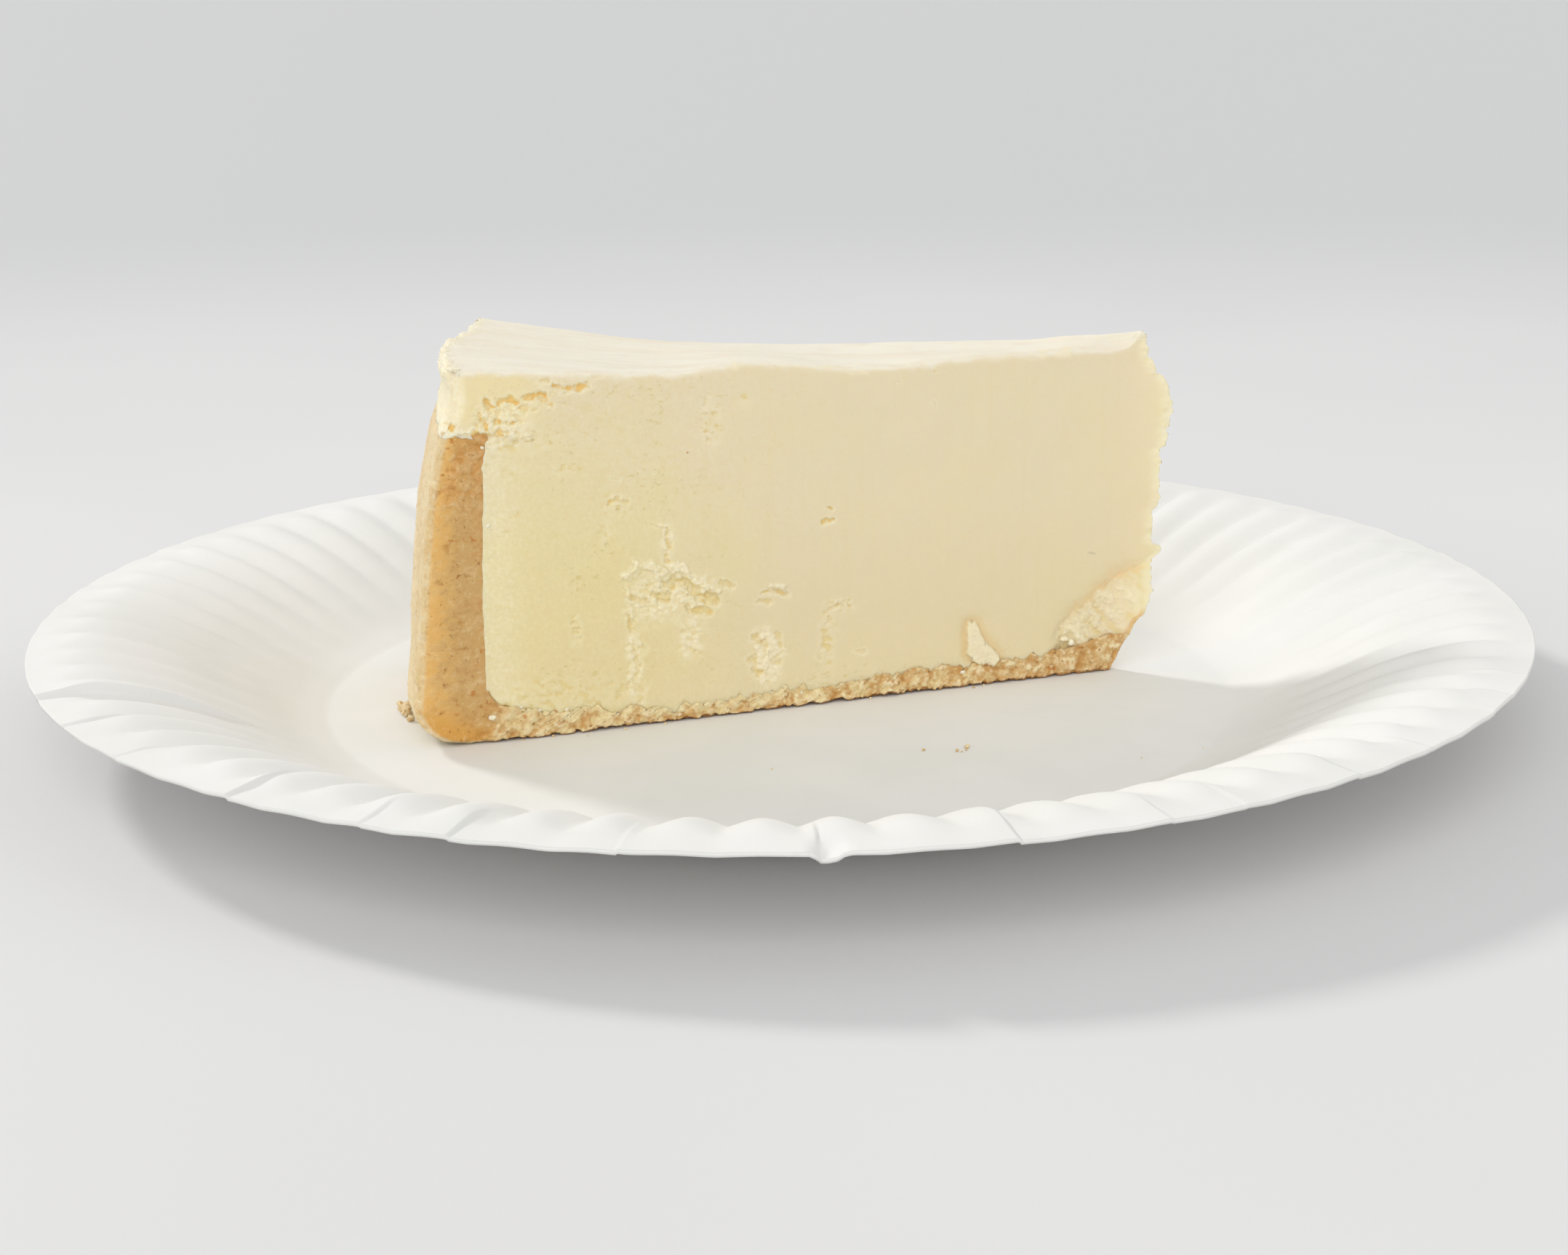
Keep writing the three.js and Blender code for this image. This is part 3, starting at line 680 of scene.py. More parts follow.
def filling_place(column, side, row):
    """Distance and height at a lattice place, the top's height there, and how far it is from the
    outer side and from the point."""
    lower = row < LOWER_ROWS + 0.5
    part = np.where(lower, row / LOWER_ROWS, (row - LOWER_ROWS - 1) / UPPER_ROWS).clip(0, 1)
    shelf = wall_top(side, BASE_END)
    point_shelf = wall_top(side, 0)
    below = lerp(BASE_TOP_AT_POINT, point_shelf, part)
    above = lerp(point_shelf + LEDGE_GAP, TOP_AT_POINT, part)
    start = point_distance(np.where(lower, below, above))
    distance = lerp(start, BASE_END, np.minimum(column / LENGTH_STEPS, 1))
    wall_face = wall_inner(np.where(lower, part * shelf, shelf), side) + OVERLAP
    outer = outer_distance(np.where(lower, shelf, lerp(shelf, OUTER_HEIGHT, part)), side)
    end = np.where(lower, wall_face + TUCK_LENGTH, outer)
    near = np.clip((column - LENGTH_STEPS) / NEAR_STEPS, 0, 1)
    over = np.clip((column - LENGTH_STEPS - NEAR_STEPS) / OVER_STEPS, 0, 1)
    distance = np.where(near > 0, lerp(BASE_END, wall_face, near), distance)
    distance = np.where(over > 0, lerp(wall_face, end, over), distance)
    shelf = shelf_height(side, distance)
    top = top_height(distance, side)
    below = lerp(base_top(distance, side) - OVERLAP, shelf, part)
    height = np.where(lower, below, lerp(shelf + LEDGE_GAP, top, part))
    from_outer = np.where(lower, FAR, outer - distance)
    return distance, height, top, from_outer, distance - start


def finer_cells(side):
    """How often each cell of a cut face is halved: twice at the front's marks and roughest ground,
    once at the back's marks, in rough ground, near the point and by the wall."""
    column = np.arange(LENGTH_STEPS + WALL_STEPS) + 0.5
    row = np.arange(LOWER_ROWS + 1 + UPPER_ROWS) + 0.5
    c, r = (v.ravel() for v in np.meshgrid(column, row, indexing="ij"))
    s, z, _, _, from_point = filling_place(c, np.full(len(c), side), r)
    marks, rough = (FRONT_MARKS, FRONT_ROUGH) if side > 0 else (BACK_MARKS, BACK_ROUGH)
    share, size = rough_share(s, z, rough)
    by_wall = (s > FINER_CORNER[0]) & (z > FINER_CORNER[1]) | (s > FINER_WALL)
    level = np.where((share > 0.1) & (size > 0.05) | (from_point < FINER_POINT) | by_wall, 1, 0)
    for width, _, _, *points in marks:
        near = distance_to_line(s, z, points) < 1.3 * width + 0.6
        level = np.maximum(level, near * (2 if side > 0 else 1))
    if side > 0:
        level = np.maximum(level, 2 * ((size > 0.3) | (depth_in_outline(s, z, BROKEN_PATCH) > -0.5)))
        level = np.maximum(level, 2 * (np.abs(depth_in_outline(s, z, CURLED_FLAKE)) < 0.9))
        level = np.maximum(level, 2 * (from_point < 0.9))
    level = level.reshape(len(column), len(row))
    level[:LENGTH_STEPS, 0] = np.maximum(level[:LENGTH_STEPS, 0], 1)
    level[:, LOWER_ROWS] = 0
    return level


def lane_side(lane, lanes, bunched):
    """Side of a lane between the cuts; the lanes are bunched near them."""
    even = lane / lanes * 2 - 1
    return (1 - bunched) * even + bunched * np.sin(even * math.pi / 2)


def filling_block():
    """Lattice places and faces of the filling, finer in its cuts, at the point and outer rim."""
    steps = (LENGTH_STEPS + WALL_STEPS, LANES, LOWER_ROWS + 1 + UPPER_ROWS)
    rim_top = np.zeros((steps[0], LANES), int)
    rim_top[LENGTH_STEPS + FINER_AFTER:] = 1
    rim_top[-FINEST_STEPS:] = 2
    rim_side = np.zeros((LANES, steps[2]), int)
    rim_side[:, LOWER_ROWS + 1:] = 2
    return block_lattice(steps, {
        (1, 0): finer_cells(-1.0), (1, 1): finer_cells(1.0), (2, 1): rim_top, (0, 1): rim_side,
        (0, 0): np.ones((LANES, steps[2]), int),
    })


def cut_relief(distance, side, height, fade):
    """Relief of both cut faces: depth, how torn each place is, and three masks of painted shade: in
    pits, amber in pits, on slopes and scoops.
    """
    found = np.zeros((5, len(side)))
    for which, shape in ((side > 0, front_relief), (side <= 0, back_relief)):
        near = which & (fade > 0)
        found[:, near] = shape(distance[near], height[near])
    return found


def top_smears(distance, side, from_cut, from_top, at):
    """Where torn filling lies along the front edge of the top."""
    smeared = np.zeros_like(side)
    for middle, reach in TOP_SMEARS:
        smeared = np.maximum(smeared, np.exp(-((distance - middle) / reach) ** 4))
    smeared = smeared * smooth(from_cut, 2.0, 0.5) * smooth(from_top, 1.6, 0.6) * (side > 0)
    return smeared * smooth(fractal(at * [0.6, 0.6, 1], 1.5, 4, seed=78, fade=0.6), -0.45, 0.25)


def filling():
    """The cheese, with relief in its cuts and a skin on its top."""
    lattice, faces = filling_block()
    column, lane, row = lattice.T
    side = lane_side(lane, LANES, 0.6)
    distance, height, top, from_outer, from_point = filling_place(column, side, row)
    lower = row < LOWER_ROWS + 0.5
    width = half_width(distance)

    # Rounded edges between the cuts, the top and the outer side
    from_cut, from_top = width * (1 - np.abs(side)), top - height
    in_cut, down = round_edge(from_cut, from_top, np.minimum(TOP_ROUNDING, 0.1 + 0.5 * width))
    in_cut2, back = round_edge(from_cut, from_outer, CORNER_ROUNDING)
    down2, back2 = round_edge(from_top, from_outer, RIM_ROUNDING)
    inset = in_cut + in_cut2

    # Relief of the two cut faces, which fades out within the block
    fade = np.clip(1 - from_cut / FADE_DEPTH, 0, 1)
    depth, torn, pit_shade, orange_shade, painted_shade = cut_relief(distance, side, height, fade)
    inset = inset + depth * fade
    tucked = np.clip((column - LENGTH_STEPS - NEAR_STEPS) / OVER_STEPS, 0, 1) * lower
    inset = inset + TUCK_DEPTH * smooth(tucked, 0, 0.5) * fade + 0.25 * smooth(row, 1, 0) * fade

    # Top skin, outer side and the thin torn edge at the point
    at = wedge(distance, side, height)
    uneven = 0.35 * fractal(at * [1, 1, 2], 2.6, 4, seed=70, fade=0.6) * smooth(from_cut, 3, 1)
    on_top = smooth(from_top + uneven, 1.3, 0.25)
    wrinkle = 0.14 * fractal(at, 9, 2, seed=71) + 0.04 * fractal(at, 2.2, 2, seed=72)
    lumps = fractal(at, 1.9, 4, seed=73, fade=0.6)
    grains = 0.7 - curds(at, 0.8, seed=77)
    outside = smooth(from_outer, 1.5, 0.1)
    rim = smooth(from_outer, 3.2 + lumps, 0.4) * smooth(from_top, 3.2 + lumps, 0.2)
    smeared = top_smears(distance, side, from_cut, from_top, at)
    ragged = 0.15 * lumps + rim * (0.28 * lumps + 0.4 * grains)
    distance = distance - back - back2 + outside * ragged
    height = height - down - down2 + on_top * wrinkle + rim * (0.25 * lumps + 0.35 * grains)
    height = np.minimum(height, HIGHEST)
    fringe = smooth(from_point, 2.6, 0.2)
    distance = distance + 0.12 * smooth(from_point, 0.8, 0) * fractal(at, 0.8, 2, seed=79)
    torn = np.maximum(torn, fringe * 0.6)
    height = height + 0.2 * smeared * (0.6 + 1.5 * grains) * on_top
    inset = inset - 0.3 * smeared * (0.5 + 1.2 * grains)
    inset = inset + 0.3 * fringe * (fractal(at, 1.2, 3, seed=74) + 0.4)
    inset = np.minimum(inset, 0.7 * width * np.abs(side))

    points = wedge(distance, side, height, inset)
    masks = {
        "skin": on_top * (1 - 0.7 * rim) * (1 - smeared),
        "torn": np.maximum(torn * fade, np.maximum(0.6 * rim, 1.5 * smeared)),
        # The next three masks are painted shade: in the pits, amber in the pits, and amber on the
        # broken corner's slope and in the flake's scoop
        "pit": pit_shade * fade,
        "orange_shade": orange_shade * fade,
        "painted_shade": painted_shade,
        "grainy": np.maximum(smooth(distance, *GRAINY_FROM), smooth(height, 9, 3)),
        "near_wall": smooth(distance, 99, 105) * smooth(height, 50, 44),
        # A painted glow, as of light shining through the filling, just above the ledge
        "glow": smooth(distance, 95, 102) * smooth(height, 46, 49.5) * (1 - on_top),
        # A painted highlight along the filling's outer side and its rounded corners with the cuts
        "corner": smooth(from_outer, 2.6, 1.2) * (1 - on_top),
        "smear": smooth(from_point, 1.5, 0.5) * smooth(height, *TIP_SMEAR_HEIGHTS),
        "along": distance / FULL_LENGTH,
        "up": height / FULL_HEIGHT,
    }
    return make_mesh("cheese_filling", points, faces, masks)


# Steps of the pastry's mesh: along the base, round the foot, up the wall, across it and through
# its thickness
BASE_STEPS, FOOT_STEPS, UPRIGHT_STEPS, CRUST_LANES, LAYERS = 246, 18, 92, 56, 12
# Steps past the foot where the front cut's cells get finest, and past the base for the outside
FINEST_AFTER = 60
SKIN_AFTER = 4
UNDERSIDE = 0.1
LOWEST = 0.04
OVER_LEDGE = 0.7
# Where the base turns into the wall, and how far the base is coarse with crumbs
WALL_ZONE = (103.5, 110)
CRUMBLY_ZONE = (113, 108)
CRUMBLY_HEIGHT = 14
# Heights between which the wall's cut turns coarse and meets the ledge
UPPER_ZONE = (WALL_TOP_AT_CUT - 13, WALL_TOP_AT_CUT - 5)
LIP_ZONE = (WALL_TOP_AT_CUT - 1, WALL_TOP_AT_CUT + 0.6)


def crust_parts(station):
    """How far each station is along the base, round the foot and up the wall, from 0 to 1."""
    stages = [(0, BASE_STEPS), (BASE_STEPS, FOOT_STEPS), (BASE_STEPS + FOOT_STEPS, UPRIGHT_STEPS)]
    return [np.clip((station - before) / steps, 0, 1) for before, steps in stages]


def shell_line(parts, side, start, centre, radius, inner):
    """Distance and height along the inner or the outer surface of the pastry, with the centre
    and the radius of its round foot."""
    base_part, foot_part, wall_part = parts
    distance, height = lerp(start, centre[0], base_part), np.full(len(side), UNDERSIDE)
    step, shift = 0, 0
    if inner:
        height = base_top(distance, side)
        step = base_top(np.full(len(side), centre[0]), side) - centre[1] + radius
    else:
        shift = outer_distance(np.full(len(side), centre[1]), side) - centre[0] - radius
    angle = math.pi / 2 * (foot_part - 1)
    foot_distance = centre[0] + radius * np.cos(angle) + shift * foot_part
    foot_height = centre[1] + radius * np.sin(angle) + step * (1 - foot_part) ** 2
    wall_height = lerp(centre[1], wall_top(side, BASE_END) + SHELF_LIFT + OVER_LEDGE, wall_part)
    wall_distance = (wall_inner if inner else outer_distance)(wall_height, side)
    on_foot, on_wall = foot_part > 0, wall_part > 0
    distance = np.where(on_wall, wall_distance, np.where(on_foot, foot_distance, distance))
    height = np.where(on_wall, wall_height, np.where(on_foot, foot_height, height))
    return distance, height


def crust_block():
    """Lattice places and faces of the pastry, finer in its front cut and its outer side."""
    steps = (BASE_STEPS + FOOT_STEPS + UPRIGHT_STEPS, CRUST_LANES, LAYERS)
    front = np.full((steps[0], LAYERS), 1)
    front[BASE_STEPS + FOOT_STEPS + FINEST_AFTER:] = 2
    outer_skin = np.zeros((steps[0], CRUST_LANES), int)
    outer_skin[BASE_STEPS + SKIN_AFTER:] = 1
    return block_lattice(steps, {(1, 1): front, (2, 0): outer_skin})


def pastry_grain(at):
    """Lumps, big and small crumbs, how broken the pastry is between them, holes and pores."""
    lumps = fractal(at, 2.4, 4, seed=81, fade=0.6)
    bent = at + 0.8 * triples(*(fractal(at, 1.8, 3, seed=85 + k) for k in range(3)))
    big, small = curds(bent * [1, 1, 1.2], 2.0, seed=82), curds(bent, 0.8, seed=83)
    broken = 0.8 * big + 0.45 * small - 0.78 + 0.3 * fractal(at, 0.9, 3, seed=88)
    holes = smooth(fractal(at, 1.3, 3, seed=84, fade=0.6), 0.75, 1.05)
    pores = smooth(fractal(at, 1.5, 4, seed=89, fade=0.68), 0.78, 1.2)
    return lumps, big, small, broken, holes, pores


def crust():
    """The pastry shell: its base, rounded foot and wall, crumbly at the cuts and baked outside."""
    lattice, faces = crust_block()
    station, lane, layer = lattice.T
    side = lane_side(lane, CRUST_LANES, 0.5)
    inward = layer / LAYERS
    parts = base_part, foot_part, wall_part = crust_parts(station)
    outer_start = line_at(RAGGED_POINT, np.full(len(side), 0.3))
    inner_start = line_at(RAGGED_POINT, np.full(len(side), BASE_TOP_AT_POINT)) + 0.1
    outer_d, outer_h = shell_line(parts, side, outer_start, FOOT_CENTRE, FOOT_RADIUS, False)
    inner_d, inner_h = shell_line(
        parts, side, inner_start, INNER_FILLET_CENTRE, INNER_FILLET_RADIUS, True,
    )
    from_tip = base_part * (FOOT_CENTRE[0] - outer_start)
    distance, height = lerp(outer_d, inner_d, inward), lerp(outer_h, inner_h, inward)
    width = half_width(distance)
    thickness = np.hypot(outer_d - inner_d, outer_h - inner_h)
    from_outer = thickness * inward
    from_cut = width * (1 - np.abs(side))
    fade = np.clip(1 - from_cut / FADE_DEPTH, 0, 1)
    wall = smooth(distance + 0.5 * height, *WALL_ZONE)

    # Unevenness: crumbs in the cuts, a rough outer side and a ragged underside
    at = wedge(distance, side, height)
    lumps, big, small, broken, holes, pores = pastry_grain(at)
    upper = smooth(height + 2 * lumps, *UPPER_ZONE)
    upper = upper * smooth(from_outer + lumps, 1.2, 3.2) * wall
    crumbly = smooth(distance + 0.6 * height + 1.5 * lumps, *CRUMBLY_ZONE)
    coarse = np.maximum(crumbly * (height < CRUMBLY_HEIGHT), 0.8 * upper)
    corner = lerp(0.6, np.clip(2.0 + 0.8 * lumps, 0.8, 3.2), wall)
    in_cut, back = round_edge(from_cut, from_outer, corner)
    smoother = 0.06 * lumps + 0.07 * small + 0.2 * holes
    lip = smooth(height, *LIP_ZONE)
    rough = coarse * (0.08 + 0.55 * broken + 0.12 * lumps) + (1 - coarse) * smoother
    seam = 0.14 * wall * smooth(inward, 0.88, 1)
    inset = in_cut + fade * (0.04 + seam + rough) * (1 - 0.8 * lip)
    outside = smooth(from_outer, 1.2, 0)
    swell = 0.18 * fractal(at, 7, 2, seed=91) + 0.08 * lumps + 0.1 * (0.6 - big) + 0.1 * (0.6 - small)
    out = outside * (swell - 0.35 * pores) * wall - back
    under = smooth(from_outer, 1.6, 0) * (1 - wall)
    slant = np.stack([outer_d - inner_d, outer_h - inner_h], -1) / np.maximum(thickness, 1e-6)[:, None]
    distance = distance + out * slant[:, 0] * wall
    raised = (0.5 * np.abs(lumps) + 0.7 * np.clip(broken + 0.1, 0, 1)) * (0.3 + 0.7 * fade)
    height = height + out * slant[:, 1] * wall + under * raised
    end = smooth(from_tip, 1.5, 0) * (wall_part == 0)
    distance = distance + end * (0.1 * lumps + 0.05)
    height = height - end * under * raised
    height = np.maximum(height, LOWEST)
    inset = np.minimum(inset, 0.6 * width * np.abs(side))
    points = wedge(distance, side, height, inset)

    baked = smooth(from_cut, 0.9, 2.2) * smooth(from_outer, 1.6, 0.3)
    baked_edge = 0.9 * smooth(from_outer + 0.25 * lumps, 1.2, 0.0)
    by_filling = smooth(inward + 0.35 * lumps, 0.4, 0.9) * smooth(distance, 106, 103) * fade
    # Painted contact shadow along the underside's outer edge, where the base meets the plate
    contact_shadow = smooth(from_outer + 0.25 * lumps, 0.6, 0.15) * (wall_part == 0)
    masks = {
        "inward": inward,
        "wall": wall,
        "outside": np.maximum(baked, baked_edge) * wall,
        # Painted shade in the crumbly hollows and the holes of the cuts
        "pit": np.maximum(smooth(broken, 0.05, 0.5) * coarse, 0.8 * holes),
        # Raised lumps: pale crumbs, partly a painted highlight
        "proud": smooth(broken, 0.0, -0.45) * coarse,
        "creamy": by_filling * smooth(distance, 45, 70),
        # Painted shade in the pores of the outer side
        "pore": pores,
        "top": upper * fade,
        "along": distance / FULL_LENGTH,
        "foot": smooth(height, 9, 2) * wall,
        # Painted contact shadow along the underside where it meets the plate
        "under": contact_shadow * smooth(foot_part, 0.9, 0.4),
    }
    return make_mesh("pastry_crust", points, faces, masks)


# Crumbs

def crumb_shape(size, flat, seed):
    """Points and faces of one crumb: a lumpy ball of the given size, in millimetres."""
    rings, spokes = 8, 12
    v = np.linspace(0, math.pi, rings + 1)[1:-1]
    u = np.linspace(0, 2 * math.pi, spokes, endpoint=False)
    vv, uu = (a.ravel() for a in np.meshgrid(v, u, indexing="ij"))
    ball = triples(np.sin(vv) * np.cos(uu), np.sin(vv) * np.sin(uu), np.cos(vv))
    ball = np.concatenate([ball, [[0, 0, 1], [0, 0, -1]]])
    swell = 1.2 + 0.3 * noise(ball * 2 + seed * 5.3, 1.6, seed)
    swell -= 0.55 * curds(ball + seed * 3.1, 0.9, seed)
    ball *= swell[:, None] * size / 2 * np.array([1, 0.8, flat])
    number, turned, quads = tube_faces(rings - 1, spokes)
    top, bottom = len(ball) - 2, len(ball) - 1
    faces = quads.tolist() + [[top, a, b] for a, b in zip(number[0], turned[0])]
    return ball, faces + [[bottom, b, a] for a, b in zip(number[-1], turned[-1])]


def crumbs(name, places):
    """One mesh of many crumbs: each place is (x, y, z) of its middle, its size and its flatness."""
    points, faces, count = [], [], 0
    for seed, (middle, size, flat) in enumerate(places):
        ball, skin = crumb_shape(size, flat, seed + 1)
        turn = Matrix.Rotation(rng.uniform(0, 2 * math.pi), 3, "Z")
        points.append(ball @ np.array(turn).T + np.array(middle))
        faces += [[n + count for n in f] for f in skin]
        count += len(ball)
    return make_mesh(name, np.concatenate(points), faces)


# Materials

def linear(red, green, blue):
    """A colour from its 0 to 255 screen values."""
    c = np.array([red, green, blue]) / 255
    return tuple(np.where(c <= 0.04045, c / 12.92, ((c + 0.055) / 1.055) ** 2.4)) + (1.0,)


class Nodes:
    """Short calls for the nodes of one material."""

    def __init__(self, name):
        self.material = bpy.data.materials.new(name)
        self.material.use_nodes = True
        self.tree = self.material.node_tree
        self.shader = self.tree.nodes["Principled BSDF"]

    def link(self, value, socket):
        if isinstance(value, bpy.types.NodeSocket):
            self.tree.links.new(value, socket)
        else:
            socket.default_value = value

    def fill(self, node, **inputs):
        """Give inputs their links or values; an underscore in a name stands for a space."""
        for key, value in inputs.items():
            self.link(value, node.inputs[key.replace("_", " ")])
        return node

    def new(self, kind, **inputs):
        return self.fill(self.tree.nodes.new(kind), **inputs)

    def mask(self, name, strength=None):
        """A mask kept on the mesh, or that times a strength."""
        node = self.new("ShaderNodeAttribute")
        node.attribute_name = name
        share = node.outputs["Fac"]
        return share if strength is None else self.times(share, strength)

    def texture(self, kind, size, stretch=(1, 1, 1), **inputs):
        """A texture node with features of the given size in millimetres, squeezed by stretch."""
        place = self.new("ShaderNodeTexCoord").outputs["Object"]
        scaled = self.new("ShaderNodeMapping", Vector=place, Scale=stretch).outputs["Vector"]
        return self.new(kind, Vector=scaled, Scale=1 / (size * MM), **inputs)

    def noise(self, size, detail=2.0, rough=0.5, stretch=(1, 1, 1)):
        """Noise from 0 to 1."""
        node = self.texture("ShaderNodeTexNoise", size, stretch, Detail=detail, Roughness=rough)
        return node.outputs["Fac"]

    def specks(self, size, share, radius):
        """Scattered specks: in a share of the cells, with a radius as part of the cell's size."""
        cells = self.texture("ShaderNodeTexVoronoi", size)
        near = self.ramp(cells.outputs["Distance"], radius, 0.55 * radius)
        parts = self.new("ShaderNodeSeparateColor", Color=cells.outputs["Color"])
        return self.times(near, self.math("GREATER_THAN", parts.outputs["Red"], 1 - share))

    def ramp(self, value, low, high, to_low=0.0, to_high=1.0):
        """A soft step from to_low at low to to_high at high."""
        ends = {"From_Min": low, "From_Max": high, "To_Min": to_low, "To_Max": to_high}
        node = self.new("ShaderNodeMapRange", Value=value, **ends)
        node.interpolation_type = "SMOOTHSTEP"
        return node.outputs["Result"]

    def math(self, kind, a, b):
        node = self.new("ShaderNodeMath")
        node.operation = kind
        self.link(a, node.inputs[0])
        self.link(b, node.inputs[1])
        return node.outputs["Value"]

    def times(self, a, b):
        return self.math("MULTIPLY", a, b)

    def plus(self, a, b):
        return self.math("ADD", a, b)

    def mix(self, share, a, b):
        node = self.new("ShaderNodeMix")
        node.data_type = "RGBA"
        for number, value in ((0, share), (6, a), (7, b)):
            self.link(value, node.inputs[number])
        return node.outputs[2]

    def paint(self, color, *layers):
        """A colour under layers, each a share and its own colour, the last one on top."""
        for share, tone in layers:
            color = self.mix(share, color, tone)
        return color

    def bump(self, height, distance, strength):
        sizes = {"Distance": distance * MM, "Strength": strength}
        return self.new("ShaderNodeBump", Height=height, **sizes).outputs["Normal"]

    def finish(self, color, roughness, **inputs):
        """Set up the shader and give the material."""
        self.fill(self.shader, Base_Color=color, Roughness=roughness, **inputs)
        return self.material


PAPER = linear(245, 246, 243)
PAPER_PALE = linear(250, 250, 248)
PAPER_FIBRE = linear(228, 226, 218)
PAPER_GLOW = linear(250, 244, 238)
LIGHT_THROUGH = 0.15


def paper_material():
    n = Nodes("white_paper")
    fibre = n.noise(0.55, 3, 0.6, (1, 3, 1))
    color = n.paint(
        PAPER,
        (n.ramp(n.noise(22, 3), 0.3, 0.7), PAPER_PALE),
        (n.ramp(fibre, 0.62, 0.8, 0, 0.25), PAPER_FIBRE),
    )
    rough = n.ramp(fibre, 0.3, 0.7, 0.62, 0.75)
    paper = n.finish(color, rough, Normal=n.bump(fibre, 0.05, 0.5), Specular_IOR_Level=0.3)
    through = n.new("ShaderNodeBsdfTranslucent", Color=PAPER_GLOW)
    both = n.new("ShaderNodeMixShader", Fac=LIGHT_THROUGH)
    n.link(n.shader.outputs["BSDF"], both.inputs[1])
    n.link(through.outputs["BSDF"], both.inputs[2])
    n.link(both.outputs["Shader"], n.tree.nodes["Material Output"].inputs["Surface"])
    return paper


CREAM = linear(233, 220, 187)
CREAM_YELLOW = linear(233, 220, 168)
CREAM_DEEP = linear(230, 209, 156)
CREAM_LOW = linear(226, 207, 158)
CREAM_PORE = linear(222, 203, 140)
# Painted glow, as of light through the filling above the ledge
PAINTED_GLOW_CREAM = linear(242, 226, 174)
# Painted amber shade on slopes and in scoops
PAINTED_SHADE_CREAM = linear(240, 205, 140)
# Painted highlight on the filling's outer corner
CORNER_HIGHLIGHT = linear(250, 243, 220)
TORN_WHITE = linear(249, 240, 212)
# Painted shade in the pits, plain and amber
PIT_SHADE_YELLOW = linear(231, 210, 142)
PIT_SHADE_ORANGE = linear(238, 196, 112)
SPECK_BROWN = linear(200, 140, 84)
SKIN = linear(243, 237, 220)
SKIN_SMEAR = linear(237, 226, 203)
SKIN_WRINKLE = linear(233, 219, 192)
SMEAR_TAN = linear(214, 172, 112)


def filling_material():
    n = Nodes("baked_cheese")
    grain = n.noise(0.6, 3, 0.65)
    streak = n.noise(1.4, 3, 0.5, (1, 1, 0.06))
    smears = n.noise(5, 4, 0.55, (0.16, 1, 1))
    wrinkles = n.noise(1.8, 4, 0.6, (0.35, 1, 1))
    grainy, torn, skin, up = (n.mask(key) for key in ("grainy", "torn", "skin", "up"))
    pores = n.ramp(n.noise(1.1, 4, 0.65, (1, 1, 1.5)), 0.57, 0.68)
    pores = n.times(pores, n.ramp(n.noise(7, 2), 0.42, 0.62))
    pores = n.times(n.ramp(grainy, 0, 1, 0.1, 0.8), pores)
    yellow = n.times(n.ramp(n.mask("along"), 0.45, 0.9), n.ramp(up, 0.95, 0.45))
    yellow = n.plus(yellow, n.ramp(n.noise(13, 3), 0.35, 0.75, -0.1, 0.25))
    top = n.paint(
        SKIN,
        (n.ramp(smears, 0.35, 0.75, 0, 0.7), SKIN_SMEAR),
        (n.ramp(wrinkles, 0.5, 0.7, 0, 0.35), SKIN_WRINKLE),
    )
    color = n.paint(
        CREAM,
        (yellow, CREAM_YELLOW),
        (n.ramp(streak, 0.5, 0.72, 0, 0.1), CREAM_DEEP),
        (n.ramp(up, 0.6, 0.15, 0, 0.3), CREAM_LOW),
        (pores, CREAM_PORE),
        (n.times(n.ramp(grain, 0.54, 0.68), n.ramp(grainy, 0, 1, 0.04, 0.35)), CREAM_DEEP),
        (n.times(n.ramp(grain, 0.48, 0.34), n.ramp(grainy, 0, 1, 0.03, 0.16)), TORN_WHITE),
        (n.times(n.mask("near_wall"), n.ramp(grain, 0.3, 0.6, 0.45, 0.2)), TORN_WHITE),
        # Painted glow above the ledge
        (n.mask("glow", 0.7), PAINTED_GLOW_CREAM),
        # Painted highlight on the outer corner
        (n.times(n.mask("corner"), n.ramp(grain, 0.35, 0.6, 0.7, 0.35)), CORNER_HIGHLIGHT),
        (n.times(n.specks(6, 0.25, 0.05), 0.7), SPECK_BROWN),
        # Painted amber shade on slopes and in scoops
        (n.mask("painted_shade", 0.55), PAINTED_SHADE_CREAM),
        (n.times(torn, 0.65), TORN_WHITE),
        # Painted shade in the pits, then amber in the deeper marks
        (n.mask("pit", 0.7), PIT_SHADE_YELLOW),
        (n.ramp(n.mask("orange_shade"), 0.3, 0.9, 0, 0.85), PIT_SHADE_ORANGE),
        (n.times(n.mask("smear"), n.ramp(grain, 0.3, 0.6, 1.0, 0.6)), SMEAR_TAN),
        (skin, top),
    )
    coarse = n.math("MAXIMUM", torn, n.times(grainy, 0.4))
    relief = n.times(grain, n.ramp(coarse, 0, 1, 0.35, 1.6))
    relief = n.plus(relief, n.times(n.noise(0.25, 2, 0.6), 0.4))
    relief = n.math("SUBTRACT", relief, n.times(pores, 0.9))
    relief = n.plus(relief, n.times(wrinkles, n.ramp(skin, 0, 1, 0, 1.4)))
    return n.finish(
        color, n.ramp(torn, 0, 1, 0.48, 0.72), Normal=n.bump(relief, 0.12, 0.55),
        Specular_IOR_Level=0.35, Subsurface_Weight=0.35, Subsurface_Radius=(1.0, 0.8, 0.5),
        Subsurface_Scale=0.0015,
    )


